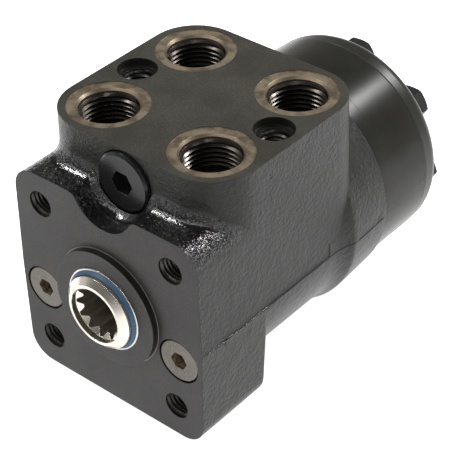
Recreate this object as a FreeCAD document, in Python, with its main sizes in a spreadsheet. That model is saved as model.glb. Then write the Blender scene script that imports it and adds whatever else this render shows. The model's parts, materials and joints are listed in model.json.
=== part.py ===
import FreeCAD, Part
import Sketcher
import math
import os
import types
from FreeCAD import Placement, Rotation, Vector

# Orbital steering unit, 160 cubic centimetres a turn, with its five valves built in.
# Millimetres. The origin is the centre of the front mounting face, on the shaft axis.
# The shaft runs along Y, from the steering column in front (-Y) to the gear set behind,
# and the port face looks up (+Z). Sizes that can be set by themselves are all here.
SIZES = {
    # Casting
    "flange_width": 82.8,
    "flange_top": 41.0,
    "flange_bottom": 42.0,
    "flange_thickness": 35.2,
    "flange_corner": 9.0,
    "flange_rear_round": 1.8,
    "draft": 1.0,
    "rear_draft": 2.5,
    "block_front": 12.0,
    "block_gap": 9.9,
    "block_corner": 17.5,
    "port_face": 57.1,
    "shelf_cove": 6.5,
    "parting_height": -1.5,
    "body_radius": 41.6,
    "shoulder_length": 6.0,
    "shoulder_cove": 18.0,
    "shoulder_round": 3.0,
    "rear_flange_length": 21.0,
    "rear_flange_radius": 44.0,
    "rear_flange_end_radius": 42.8,
    "rear_flange_chamfer": 0.8,
    "housing_length": 102.0,
    "boss_radius": 22.3,
    "boss_height": 2.4,
    "notch_radius": 13.3,
    "notch_round": 4.0,
    # Column screws, tapped M10 in the front face
    "column_spacing": 58.37,
    "column_thread": 5.0,
    "column_depth": 20.0,
    # Four G 1/2 ports and two M10 holes in the port face
    "port_x": 22.6,
    "front_port_y": 29.1,
    "rear_port_gap": 28.0,
    "port_thread": 10.48,
    "port_thread_depth": 15.0,
    "port_tip": 3.0,
    "port_chamfer": 0.9,
    "spot_face_radius": 14.55,
    "spot_face_depth": 0.4,
    "block_screw_x": 30.3,
    "block_screw_y": 51.8,
    "block_screw_thread": 5.0,
    "block_screw_depth": 18.0,
    "block_screw_counterbore": 7.15,
    "block_screw_step": 3.0,
    "passage_x": 17.5,
    "passage_shift": 3.6,
    "passage_radius": 3.6,
    "ring_groove_radius": 22.0,
    "ring_groove_width": 5.0,
    # Main bore, spool and sleeve
    "bore_radius": 19.0,
    "bore_front": 12.0,
    "neck_clearance": 0.3,
    "slip": 0.03,
    "spool_radius": 14.0,
    "spool_front": -7.2,
    "spool_rear_gap": 0.4,
    "spool_nose_radius": 11.76,
    "spool_nose_length": 2.0,
    "spool_hollow": 11.3,
    "socket_mouth": 10.66,
    "socket_mouth_depth": 2.1,
    "socket_chamfer": 1.6,
    "socket_minor": 8.8,
    "socket_major": 10.5,
    "socket_pitch": 9.525,
    "socket_flank": 30.0,
    "socket_end": 12.0,
    "socket_teeth": 12.0,
    "spool_groove_width": 3.4,
    "spool_groove_depth": 1.2,
    "spool_groove_start": 46.0,
    "spool_groove_length": 18.0,
    "spool_groove_count": 6.0,
    "sleeve_front": 16.0,
    "sleeve_rear_gap": 0.1,
    "sleeve_hole_radius": 1.6,
    "sleeve_hole_start": 43.0,
    "sleeve_hole_pitch": 27.0,
    "feed_slot_length": 5.0,
    "feed_slot_width": 2.2,
    "feed_slot_gap": 10.0,
    "feed_slot_count": 12.0,
    # Centring springs, their ring and the cross pin
    "leaf_thickness": 0.45,
    "leaf_gap": 0.03,
    "leaf_width": 5.2,
    "leaf_front": 17.4,
    "leaf_half_length": 17.2,
    "leaf_bow": 0.9,
    "leaf_slot_clearance": 0.1,
    "ring_seat_radius": 17.6,
    "spring_ring_radius": 18.85,
    "spring_ring_front": 16.7,
    "spring_ring_length": 6.1,
    "cross_pin_radius": 4.0,
    "cross_pin_y": 31.0,
    "cross_pin_half_length": 18.6,
    "pin_window_radius": 6.5,
    # Seals at the shaft
    "dust_seal_radius": 15.9,
    "dust_seal_depth": 3.0,
    "dust_seal_stand": 0.6,
    "dust_seal_wall": 0.8,
    "dust_seal_edge": 0.2,
    "dust_lip_width": 0.3,
    "dust_lip_reach": 1.2,
    "dust_lip_length": 2.2,
    "shaft_seal_radius": 17.0,
    "shaft_seal_front": 5.0,
    "shaft_seal_width": 4.0,
    "shaft_seal_chamfer": 1.0,
    # Thrust bearing
    "race_thickness": 1.0,
    "race_inner": 14.5,
    "race_outer": 18.8,
    "needle_radius": 0.98,
    "needle_inner": 15.1,
    "needle_outer": 18.2,
    "needle_count": 14.0,
    "cage_thickness": 1.1,
    # Cardan shaft and spacer
    "fork_radius": 9.5,
    "fork_front": 5.0,
    "fork_slot_depth": 5.2,
    "fork_rear": 8.0,
    "fork_clearance": 0.4,
    "fork_taper": 3.0,
    "fork_chamfer": 1.0,
    "cardan_radius": 7.4,
    "cardan_head_gap": 0.75,
    "cardan_head_length": 10.0,
    "cardan_head_taper": 1.2,
    "spline_root": 11.1,
    "spline_tip": 12.9,
    "spline_tooth": 2.8,
    "spline_clearance": 0.35,
    "spline_count": 12.0,
    "spacer_gap": 0.6,
    "spacer_length": 7.6,
    # Distributor plate, gear set and end cover
    "band_radius": 41.7,
    "plate_thickness": 5.65,
    "plate_hole": 14.0,
    "channel_radius": 2.8,
    "channel_circle": 28.0,
    "channel_slope": 2.0,
    "gear_width": 20.8,
    "tooth_circle": 34.5,
    "tooth_radius": 8.8,
    "eccentricity": 3.4,
    "gear_clearance": 0.08,
    "side_clearance": 0.02,
    "root_clearance": 0.3,
    "cover_radius": 41.5,
    "cover_thickness": 8.4,
    "cover_round": 4.4,
    "joint_chamfer": 0.3,
    "seal_ring_radius": 37.1,
    "seal_ring_width": 2.0,
    "seal_ring_height": 1.5,
    "seal_groove_gap": 0.1,
    # Cover screws, M8
    "screw_circle": 31.0,
    "screw_thread": 4.0,
    "screw_clearance": 0.2,
    "screw_reach": 16.0,
    "screw_hole_depth": 19.0,
    "screw_head_across": 13.0,
    "screw_head_height": 5.3,
    "screw_head_slope": 30.0,
    "screw_head_flat": 0.96,
    "washer_radius": 7.2,
    "washer_thickness": 1.0,
    # Check valve and suction valves, in the bottom of three screw holes
    "valve_bore": 3.5,
    "valve_depth": 38.0,
    "valve_ball": 3.2,
    "valve_lift": 2.0,
    "seat_length": 4.0,
    "seat_hole": 1.8,
    "stop_pin_radius": 1.5,
    "stop_pin_gap": 0.1,
    "drain_radius": 2.0,
    "drain_overlap": 4.0,
    # Relief valve, above the shaft
    "relief_height": 45.0,
    "relief_recess": 11.4,
    "relief_recess_depth": 4.6,
    "relief_head": 11.1,
    "relief_head_stand": 1.9,
    "relief_head_chamfer": 0.8,
    "relief_washer": 1.2,
    "relief_thread": 9.0,
    "relief_thread_length": 9.0,
    "relief_thread_end": 2.0,
    "relief_bore": 6.5,
    "relief_bore_end": 58.0,
    "relief_socket_across": 8.0,
    "relief_socket_depth": 5.0,
    "relief_spring_radius": 4.4,
    "relief_spring_wire": 1.3,
    "relief_spring_turns": 5.0,
    "relief_poppet_radius": 6.3,
    "relief_poppet_length": 9.0,
    "relief_cone_length": 2.5,
    "relief_seat_length": 6.0,
    "relief_seat_hole": 3.2,
    # Shock valves, left and right of the shaft
    "shock_x": 31.0,
    "shock_z": -8.0,
    "shock_recess": 8.6,
    "shock_recess_depth": 3.6,
    "shock_head": 8.2,
    "shock_head_stand": 0.15,
    "shock_head_chamfer": 0.4,
    "shock_washer": 0.8,
    "shock_bore": 6.0,
    "shock_bore_end": 34.0,
    "shock_shank_length": 9.0,
    "shock_socket_across": 6.0,
    "shock_socket_depth": 4.0,
    "shock_spring_radius": 3.2,
    "shock_spring_wire": 1.1,
    "shock_spring_turns": 4.0,
    "shock_ball_nest": 0.8,
    "spring_end_gap": 0.1,
    "plug_washer_play": 0.15,
    "shock_ball": 3.0,
    "shock_seat_length": 4.0,
    "shock_seat_hole": 1.8,
}

# The gear ring has seven teeth, one behind each cover screw, the first at the top,
# and the rotor has one tooth fewer.
RING_TEETH = 7
TOP = 90.0
PITCH = 360.0 / RING_TEETH
ROTOR_TEETH = RING_TEETH - 1
SIDES = {"left": -1, "right": 1}


class Size:
    """A length as a number, for drawing, and as a formula in the sheet's cells, for binding."""

    def __init__(self, number, text=None):
        self.number = float(number)
        self.text = text or f"{float(number):.6g}"

    def __add__(self, other):
        other = as_size(other)
        return Size(self.number + other.number, f"({self.text} + {other.text})")

    def __sub__(self, other):
        other = as_size(other)
        return Size(self.number - other.number, f"({self.text} - {other.text})")

    def __mul__(self, factor):
        factor = as_size(factor)
        return Size(self.number * factor.number, f"({self.text} * {factor.text})")

    def __truediv__(self, factor):
        factor = as_size(factor)
        return Size(self.number / factor.number, f"({self.text} / {factor.text})")

    def __neg__(self):
        return Size(-self.number, f"(-1 * {self.text})")

    def __radd__(self, other):
        return as_size(other) + self

    def __rsub__(self, other):
        return as_size(other) - self

    def __rmul__(self, factor):
        return as_size(factor) * self


def as_size(value):
    return value if isinstance(value, Size) else Size(value)


doc = FreeCAD.newDocument("SteeringUnit")
sheet = doc.addObject("Spreadsheet::Sheet", "Sizes")
for row, (alias, value) in enumerate(SIZES.items(), start=1):
    sheet.set(f"A{row}", alias.replace("_", " "))
    sheet.set(f"B{row}", str(value))
    sheet.setAlias(f"B{row}", alias)
doc.recompute()
d = types.SimpleNamespace(**{alias: Size(value, f"Sizes.{alias}") for alias, value in SIZES.items()})

nodes = {}


def keep(node, thing):
    """Names a finished sub-part, which also names its file."""
    thing.Label = node
    nodes[node] = thing
    return thing


def bind(thing, field, value):
    thing.setExpression(field, as_size(value).text)


def place(thing, x=0, y=0, z=0, rotation=None):
    spot = Vector(*(as_size(value).number for value in (x, y, z)))
    thing.Placement = Placement(spot, rotation or Rotation())
    for axis, value in zip("xyz", (x, y, z)):
        bind(thing, f"Placement.Base.{axis}", value)


def polar(radius, degrees):
    """The x and z of a point on a circle round the shaft, from +X towards +Z."""
    angle = math.radians(degrees)
    radius = as_size(radius)
    x = Size(radius.number * math.cos(angle), f"({radius.text} * cos({degrees:.6f} deg))")
    z = Size(radius.number * math.sin(angle), f"({radius.text} * sin({degrees:.6f} deg))")
    return x, z


ALONG_Y = Rotation()
ALONG_Z = Rotation(Vector(1, 0, 0), 90)
CYLINDER_TURN = {
    "X": Rotation(Vector(0, 1, 0), 90),
    "Y": Rotation(Vector(1, 0, 0), -90),
    "Z": Rotation(),
}


def slope(angle):
    """How far a leaning face moves over one millimetre of its height."""
    return Size(math.tan(math.radians(angle.number)), f"tan({angle.text} * 1 deg)")


def box(name, x0, x1, y0, y1, z0, z1):
    block = doc.addObject("Part::Box", name)
    for field, low, high in (("Length", x0, x1), ("Width", y0, y1), ("Height", z0, z1)):
        bind(block, field, as_size(high) - low)
    place(block, x0, y0, z0)
    return block


def leaning_box(name, half_width, y0, y1, z0, height, lean_rear, sign=1):
    """A box whose sides and rear lean in as it rises from z0, or as it falls where the sign is -1."""
    wedge = doc.addObject("Part::Wedge", name)
    inset = height * slope(d.draft)
    bind(wedge, "Xmin", -half_width)
    bind(wedge, "Xmax", half_width)
    bind(wedge, "X2min", inset - half_width)
    bind(wedge, "X2max", half_width - inset)
    bind(wedge, "Ymin", 0)
    bind(wedge, "Ymax", height)
    ends = {"Zmin": y0, "Zmax": y1, "Z2min": y0, "Z2max": y1 - height * slope(lean_rear)}
    if sign > 0:
        ends = {field.replace("min", "-").replace("max", "min").replace("-", "max"): -as_size(value)
                for field, value in ends.items()}
    for field, value in ends.items():
        bind(wedge, field, value)
    place(wedge, 0, 0, z0, Rotation(Vector(1, 0, 0), 90 * sign))
    return wedge


def cylinder(name, radius, length, x=0, y=0, z=0, along="Y"):
    """A cylinder whose first face has its centre at the point, and which runs along an axis."""
    rod = doc.addObject("Part::Cylinder", name)
    bind(rod, "Radius", radius)
    bind(rod, "Height", length)
    place(rod, x, y, z, CYLINDER_TURN[along])
    return rod


def spoke(name, radius, start, end, y, degrees):
    """A cylinder that points away from the shaft, between two distances from its axis."""
    x, z = polar(start, degrees)
    bar = cylinder(name, radius, as_size(end) - start, x, y, z)
    angle = math.radians(degrees)
    bar.Placement.Rotation = Rotation(Vector(0, 0, 1), Vector(math.cos(angle), 0, math.sin(angle)))
    return bar


def fused(name, pieces):
    joined = doc.addObject("Part::MultiFuse", name)
    joined.Shapes = pieces
    joined.Refine = True
    return joined


def cut(name, base, tools):
    """Takes one tool, or a list of tools, from the base."""
    if isinstance(tools, list):
        tools = tools[0] if len(tools) == 1 else fused(f"{name}_tools", tools)
    result = doc.addObject("Part::Cut", name)
    result.Base = base
    result.Tool = tools
    return result


def rounded(name, base, radius, chosen):
    """Rounds the edges of the base that a test of the edge's own points picks."""
    doc.recompute()
    fillet = doc.addObject("Part::Fillet", name)
    fillet.Base = base
    picked = [i for i, edge in enumerate(base.Shape.Edges, start=1) if chosen(points_on(edge))]
    fillet.Edges = [(i, radius.number, radius.number) for i in picked]
    return fillet


def points_on(edge, steps=4):
    first, last = edge.ParameterRange
    return [edge.valueAt(first + (last - first) * i / steps) for i in range(steps + 1)]


def plane_of(body, role):
    return next(feature for feature in body.Origin.OriginFeatures if feature.Role == role)


def sketch_on(body, role, name, offset=None):
    sketch = body.newObject("Sketcher::SketchObject", name)
    sketch.AttachmentSupport = [(plane_of(body, role), "")]
    sketch.MapMode = "FlatFace"
    if offset is not None:
        bind(sketch, "AttachmentOffset.Base.z", offset)
    return sketch


def draw(sketch, corners):
    """Draws a closed outline, and holds each corner to its own formula."""
    places = [(as_size(across), as_size(up)) for across, up in corners]
    count = len(places)
    for i in range(count):
        start = Vector(places[i][0].number, places[i][1].number, 0)
        end = Vector(places[(i + 1) % count][0].number, places[(i + 1) % count][1].number, 0)
        sketch.addGeometry(Part.LineSegment(start, end), False)
    for i in range(count):
        sketch.addConstraint(Sketcher.Constraint("Coincident", i, 2, (i + 1) % count, 1))
    for i, corner in enumerate(places):
        for kind, value in zip(("DistanceX", "DistanceY"), corner):
            if value.number == 0:
                other = "PointOnObject"
                sketch.addConstraint(Sketcher.Constraint(other, i, 1, -2 if kind == "DistanceX" else -1))
                continue
            index = sketch.addConstraint(Sketcher.Constraint(kind, -1, 1, i, 1, value.number))
            sketch.setExpression(f"Constraints[{index}]", value.text)


def turned(name, outline, x=0, y=0, z=0, rotation=ALONG_Y):
    """A turned piece: an outline of (radius, distance along) corners, spun round its axis."""
    body = doc.addObject("PartDesign::Body", name)
    sketch = sketch_on(body, "XY_Plane", f"{name}_outline")
    draw(sketch, outline)
    spin = body.newObject("PartDesign::Revolution", f"{name}_turned")
    spin.Profile = sketch
    spin.ReferenceAxis = (sketch, ["V_Axis"])
    spin.Angle = 360
    body.Tip = spin
    place(body, x, y, z, rotation)
    return body


def pressed(body, name, outline, start, length, kind="Pocket", count=None):
    """Cuts or adds an outline in X and Z, from a distance along Y, once or round the axis."""
    sketch = sketch_on(body, "XZ_Plane", f"{name}_outline", -as_size(start))
    draw(sketch, outline)
    feature = body.newObject(f"PartDesign::{kind}", name)
    feature.Profile = sketch
    feature.Reversed = kind == "Pad"
    bind(feature, "Length", length)
    body.Tip = feature
    if count is not None:
        doc.recompute()
        ring = body.newObject("PartDesign::PolarPattern", f"{name}_ring")
        ring.Originals = [feature]
        ring.Axis = (plane_of(body, "Y_Axis"), [""])
        ring.Angle = 360
        bind(ring, "Occurrences", count)
        body.Tip = ring
    return feature


def rectangle(x0, x1, z0, z1):
    return [(x0, z0), (x1, z0), (x1, z1), (x0, z1)]


def hexagon(across):
    corner = as_size(across) / math.sqrt(3.0)
    return [polar(corner, 60.0 * i) for i in range(6)]


def tube(inner, outer, start, end):
    """The outline of a plain ring."""
    return [(inner, start), (outer, start), (outer, end), (inner, end)]


def rod(radius, start, end):
    """The outline of a plain round bar."""
    return [(0, start), (radius, start), (radius, end), (0, end)]


# Places along the shaft that several pieces share
plate_front = d.housing_length
gear_front = plate_front + d.plate_thickness
cover_front = gear_front + d.gear_width
cover_rear = cover_front + d.cover_thickness
spacer_start = cover_front - d.spacer_length
cardan_head_front = gear_front - d.cross_pin_y + d.cardan_head_gap
block_rear = d.housing_length - d.block_gap
shoulder_rear = d.housing_length - d.rear_flange_length
body_rear = shoulder_rear - d.shoulder_length
rear_port_y = d.housing_length - d.rear_port_gap
feed_centre = d.housing_length - d.feed_slot_gap
screw_hole_end = d.housing_length - d.screw_hole_depth
valve_seat = d.housing_length - d.valve_depth
washer_rear = cover_rear + d.washer_thickness
screw_tip = d.housing_length - d.screw_reach
bearing_middle = (d.bore_front + d.sleeve_front) / 2
leaf_rear = d.leaf_front + d.leaf_width
half_flange = d.flange_width / 2
half_column = d.column_spacing / 2
screw_angles = [TOP - PITCH * i for i in range(RING_TEETH)]
channel_angles = [angle - PITCH / 2 for angle in screw_angles]
# The check valve lies under the top screw, the suction valves under the two lowest.
valve_angles = {"check": screw_angles[0], "left_suction": screw_angles[4], "right_suction": screw_angles[3]}


def casting():
    """The outside of the housing: front flange, port block, round body and rear flange."""
    rise = d.flange_top - d.parting_height
    upper = leaning_box("upper_flange_blank", half_flange, 0, d.flange_thickness / 2,
                        d.parting_height, rise, d.draft)
    upper = rounded("upper_flange", upper, d.flange_corner, outer_edge_along_shaft)
    lower = leaning_box("lower_flange_blank", half_flange, 0, d.flange_thickness,
                        d.parting_height, d.flange_bottom + d.parting_height, d.rear_draft, -1)
    lower = rounded("lower_flange_corners", lower, d.flange_corner, outer_edge_along_shaft)
    lower = rounded("lower_flange", lower, d.flange_rear_round, behind_lower_flange)
    block = leaning_box("block_blank", half_flange, d.block_front, block_rear,
                        d.parting_height, d.port_face - d.parting_height, d.draft)
    block = rounded("block", block, d.block_corner, stands_upright)
    flange = cut("notched_flange", fused("flange", [upper, lower]), plug_notch())
    front = rounded("coved_casting", fused("front_casting", [flange, block]), d.shelf_cove, meets_flange)
    body = turned("body_blank", [
        (0, d.block_front),
        (d.body_radius, d.block_front),
        (d.body_radius, body_rear),
        (d.rear_flange_radius, shoulder_rear),
        (d.rear_flange_end_radius, d.housing_length - d.rear_flange_chamfer),
        (d.rear_flange_end_radius - d.rear_flange_chamfer, d.housing_length),
        (0, d.housing_length),
    ])
    body = rounded("body_with_cove", body, d.shoulder_cove, lambda points: lies_at(points, body_rear))
    body = rounded("round_body", body, d.shoulder_round, lambda points: lies_at(points, shoulder_rear))
    above = box("above_parting", -2 * d.body_radius, 2 * d.body_radius, 0, body_rear - d.shoulder_length,
                d.parting_height, 2 * d.body_radius)
    boss = cylinder("boss", d.boss_radius, d.boss_height + 1, y=-d.boss_height)
    return fused("casting", [front, cut("lower_body", body, above), boss])


def outer_edge_along_shaft(points):
    return abs(points[0].y - points[-1].y) > 1 and abs(points[0].z) > d.flange_top.number - 1


def stands_upright(points):
    return abs(points[0].z - points[-1].z) > 1


def lies_at(points, place):
    return all(abs(point.y - place.number) < 0.01 for point in points)


def behind_lower_flange(points):
    """The outline of the flange's rear face, but not where it ends on the parting plane."""
    below = any(point.z < d.parting_height.number - 0.01 for point in points)
    return below and all(point.y > d.flange_thickness.number / 2 for point in points)


def plug_notch():
    """The notch in front of the relief plug, whose sides roll over onto the flange's top."""
    reach = d.notch_radius + d.notch_round
    roll_height = d.flange_top - d.notch_round
    drop = d.relief_height - roll_height
    roll_x = leg(reach, drop)
    mouth = box("notch_mouth_blank", -roll_x, roll_x, -1, d.block_front,
                d.relief_height - drop * d.notch_radius / reach, d.relief_height)
    rolls = [cylinder(f"{side}_notch_roll", d.notch_round, d.block_front + 3, sign * roll_x, -2, roll_height)
             for side, sign in SIDES.items()]
    round_part = cylinder("round_notch", d.notch_radius, d.block_front + 1, y=-1, z=d.relief_height)
    return fused("plug_notch", [round_part, cut("notch_mouth", mouth, rolls)])


def leg(longest, other):
    """The third side of a triangle with a right angle."""
    number = math.sqrt(longest.number ** 2 - other.number ** 2)
    return Size(number, f"sqrt({longest.text} * {longest.text} - {other.text} * {other.text})")


def meets_flange(points):
    """The foot of the block: in the notch, on the flange's top and on its rounded corners."""
    corner = d.block_corner.number
    corner_y = d.block_front.number + corner
    floor = (d.relief_height - d.notch_radius).number
    if lies_at(points, d.block_front):
        return all(floor - 0.1 < point.z < d.flange_top.number + 0.1 for point in points)
    for point in points:
        height = point.z - d.parting_height.number
        across = abs(point.x) - (half_flange - height * slope(d.draft)).number + corner
        lowest = (d.flange_top - d.flange_corner).number - 0.3
        if not lowest < point.z < d.flange_top.number + 0.1 or point.y > corner_y + 0.1:
            return False
        if across < 0 or abs(math.hypot(across, corner_y - point.y) - corner) > 0.05:
            return False
    return True


def main_bore_tool():
    """The stepped bore for the seals, the bearing and the sleeve, with a groove for each port."""
    neck = d.spool_radius + d.neck_clearance
    seal_rear = d.shaft_seal_front + d.shaft_seal_width
    outline = [
        (0, -d.boss_height - 1),
        (d.dust_seal_radius, -d.boss_height - 1),
        (d.dust_seal_radius, d.dust_seal_depth),
        (neck, d.dust_seal_depth),
        (neck, d.shaft_seal_front),
        (d.shaft_seal_radius, d.shaft_seal_front),
        (d.shaft_seal_radius, seal_rear),
        (neck, seal_rear),
        (neck, d.bore_front),
        (d.bore_radius, d.bore_front),
    ]
    for centre in (d.front_port_y, rear_port_y):
        for shift in (-1, 1):
            middle = centre + shift * d.passage_shift
            outline += [
                (d.bore_radius, middle - d.ring_groove_width / 2),
                (d.ring_groove_radius, middle - d.ring_groove_width / 2),
                (d.ring_groove_radius, middle + d.ring_groove_width / 2),
                (d.bore_radius, middle + d.ring_groove_width / 2),
            ]
    outline += [(d.bore_radius, d.housing_length + 1), (0, d.housing_length + 1)]
    return turned("main_bore", outline)


def port_tools():
    """The four ports, and the passage from each one's floor to its groove in the bore."""
    ports = []
    passages = []
    for side, sign in SIDES.items():
        for row, centre in (("front", d.front_port_y), ("rear", rear_port_y)):
            ports.append(port_tool(f"{side}_{row}_port", sign * d.port_x, centre))
            passages.append(cylinder(
                f"{side}_{row}_passage", d.passage_radius,
                d.port_face - d.port_thread_depth - d.ring_groove_radius / 2,
                sign * d.passage_x, centre - sign * d.passage_shift, d.ring_groove_radius / 2, "Z"))
    return ports, passages


def screw_tools():
    """The two screw holes in the port face and the four in the front face."""
    tools = []
    for side, sign in SIDES.items():
        tools.append(block_screw_tool(f"{side}_block_screw", sign * d.block_screw_x))
        for level, up in (("upper", 1), ("lower", -1)):
            tools.append(column_tool(f"{side}_{level}_column_screw", sign * half_column, up * half_column))
    return tools


def shock_tools():
    """The two shock valve bores, and the drill that joins each to the main bore."""
    tools = []
    for side, sign in SIDES.items():
        tools.append(shock_tool(f"{side}_shock_bore", sign * d.shock_x))
        start = d.ring_groove_radius - 2 if sign > 0 else -d.shock_x
        tools.append(cylinder(
            f"{side}_shock_drain", d.drain_radius, d.shock_x - d.ring_groove_radius + 2,
            start, d.front_port_y + d.passage_shift, d.shock_z, "X"))
    return tools


def port_tool(name, x, y):
    floor = d.port_face - d.spot_face_depth
    bottom = floor - d.port_thread_depth
    return turned(name, [
        (0, bottom - d.port_tip),
        (d.port_thread, bottom),
        (d.port_thread, floor - d.port_chamfer),
        (d.port_thread + d.port_chamfer, floor),
        (d.spot_face_radius, floor),
        (d.spot_face_radius, d.port_face + 1),
        (0, d.port_face + 1),
    ], x, y, 0, ALONG_Z)


def block_screw_tool(name, x):
    step = d.port_face - d.block_screw_step
    return turned(name, [
        (0, step - d.block_screw_depth),
        (d.block_screw_thread, step - d.block_screw_depth),
        (d.block_screw_thread, step),
        (d.block_screw_counterbore, step),
        (d.block_screw_counterbore, d.port_face + 1),
        (0, d.port_face + 1),
    ], x, d.block_screw_y, 0, ALONG_Z)


def column_tool(name, x, z):
    return turned(name, rod(d.column_thread, -1, d.column_depth), x, 0, z)


def shock_tool(name, x):
    return turned(name, [
        (0, -1),
        (d.shock_recess, -1),
        (d.shock_recess, d.shock_recess_depth),
        (d.shock_bore, d.shock_recess_depth),
        (d.shock_bore, d.shock_bore_end),
        (0, d.shock_bore_end),
    ], x, 0, d.shock_z)


def relief_tools():
    recess_end = d.block_front + d.relief_recess_depth
    thread_end = recess_end + d.relief_thread_length
    bore = turned("relief_bore", [
        (0, d.block_front - d.shelf_cove),
        (d.relief_recess, d.block_front - d.shelf_cove),
        (d.relief_recess, recess_end),
        (d.relief_thread, recess_end),
        (d.relief_thread, thread_end),
        (d.relief_bore, thread_end + 1),
        (d.relief_bore, d.relief_bore_end),
        (0, d.relief_bore_end),
    ], 0, 0, d.relief_height)
    drain = cylinder("relief_drain", d.drain_radius, d.relief_height - d.bore_radius,
                     0, d.relief_bore_end - d.relief_seat_length - d.drain_overlap, d.bore_radius - 1, "Z")
    return [bore, drain]


def rear_tools():
    """The screw holes in the rear face, the gear channels, and the drills that feed them."""
    valve_holes = set(valve_angles.values())
    holes = []
    channels = []
    feeds = []
    channel_circle = d.channel_circle - d.channel_slope
    for i, angle in enumerate(screw_angles):
        x, z = polar(d.screw_circle, angle)
        hole = [
            (0, screw_hole_end),
            (d.screw_thread, screw_hole_end),
            (d.screw_thread, d.housing_length + 1),
            (0, d.housing_length + 1),
        ]
        if angle in valve_holes:
            hole[:1] = [
                (0, valve_seat - d.seat_length),
                (d.seat_hole, valve_seat - d.seat_length),
                (d.seat_hole, valve_seat),
                (d.valve_bore, valve_seat),
                (d.valve_bore, screw_hole_end),
            ]
        holes.append(turned(f"screw_hole_{i + 1}", hole, x, 0, z))
    for i, angle in enumerate(channel_angles):
        x, z = polar(channel_circle, angle)
        channels.append(cylinder(f"channel_{i + 1}", d.channel_radius,
                                 d.housing_length - feed_centre + 2,
                                 x, feed_centre - 1, z))
        feeds.append(spoke(f"feed_{i + 1}", d.drain_radius, d.bore_radius - 1, channel_circle,
                           feed_centre, angle))
    return holes, channels, feeds


def seal_groove(name, face, sign):
    """The groove for a seal ring in a flat face; the sign says which way the face looks."""
    inner = d.seal_ring_radius - d.seal_ring_width / 2 - d.seal_groove_gap
    outer = d.seal_ring_radius + d.seal_ring_width / 2 + d.seal_groove_gap
    ends = [face - sign * d.seal_ring_height, face + sign]
    return turned(name, tube(inner, outer, *ends[::sign]))


def housing():
    """The casting, with its holes cut in the order that a machine shop would cut them."""
    ports, passages = port_tools()
    screw_holes_behind, channels, feeds = rear_tools()
    stages = {
        "bored": main_bore_tool(),
        "ported": ports,
        "tapped": screw_tools(),
        "with_passages": passages,
        "with_shock_bores": shock_tools(),
        "with_relief_bore": relief_tools(),
        "with_screw_holes": screw_holes_behind,
        "with_channels": channels,
        "with_feeds": feeds,
        "housing": seal_groove("housing_seal_groove", d.housing_length, 1),
    }
    shape = casting()
    for stage, tools in stages.items():
        shape = cut(stage, shape, tools)
    keep("housing", shape)


def shaft_seals():
    case_inner = d.dust_seal_radius - d.dust_seal_wall
    front = -d.boss_height - d.dust_seal_stand
    edge = d.dust_seal_edge
    keep("dust_seal_case", turned("dust_seal_case", [
        (case_inner, front + edge),
        (case_inner + edge, front),
        (d.dust_seal_radius - edge, front),
        (d.dust_seal_radius, front + edge),
        (d.dust_seal_radius, d.dust_seal_depth),
        (d.spool_radius + d.neck_clearance, d.dust_seal_depth),
        (d.spool_radius + d.neck_clearance, d.dust_seal_depth - d.dust_seal_wall),
        (case_inner, d.dust_seal_depth - d.dust_seal_wall),
    ]))
    lip = d.spool_radius + d.slip
    keep("dust_seal_lip", turned("dust_seal_lip", [
        (lip, front - d.dust_lip_reach + edge),
        (lip + d.dust_lip_width, front - d.dust_lip_reach),
        (case_inner, front + edge),
        (case_inner, d.dust_seal_depth - d.dust_seal_wall),
        (lip + 2 * d.dust_lip_width, d.dust_seal_depth - d.dust_seal_wall),
        (lip + 2 * d.dust_lip_width, front + d.dust_lip_length),
        (lip, front + d.dust_lip_length / 2),
    ]))
    seal_rear = d.shaft_seal_front + d.shaft_seal_width
    chamfer = d.shaft_seal_chamfer
    keep("shaft_seal", turned("shaft_seal", [
        (lip, d.shaft_seal_front + chamfer),
        (lip + chamfer, d.shaft_seal_front),
        (d.shaft_seal_radius, d.shaft_seal_front),
        (d.shaft_seal_radius, seal_rear),
        (lip + chamfer, seal_rear),
        (lip, seal_rear - chamfer),
    ]))


def thrust_bearing():
    outer_end = d.bore_front + d.race_thickness
    inner_start = d.sleeve_front - d.race_thickness
    keep("bearing_outer_race", turned("bearing_outer_race",
                                      tube(d.race_inner, d.race_outer, d.bore_front, outer_end)))
    keep("bearing_inner_race", turned("bearing_inner_race",
                                      tube(d.race_inner, d.race_outer, inner_start, d.sleeve_front)))
    half = d.cage_thickness / 2
    disc = turned("cage_disc", tube(d.race_inner, d.race_outer, bearing_middle - half,
                                    bearing_middle + half))
    count = int(d.needle_count.number)
    needles = []
    windows = []
    for i in range(count):
        angle = 360.0 * i / count
        for group, name, play in ((needles, "needle", 0), (windows, "window", d.slip)):
            group.append(spoke(f"{name}_{i + 1}", d.needle_radius + play, d.needle_inner - play,
                               d.needle_outer + play, bearing_middle, angle))
    keep("bearing_cage", cut("bearing_cage", disc, windows))
    group = doc.addObject("Part::Compound", "bearing_needles")
    group.Links = needles
    keep("bearing_needles", group)


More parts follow.
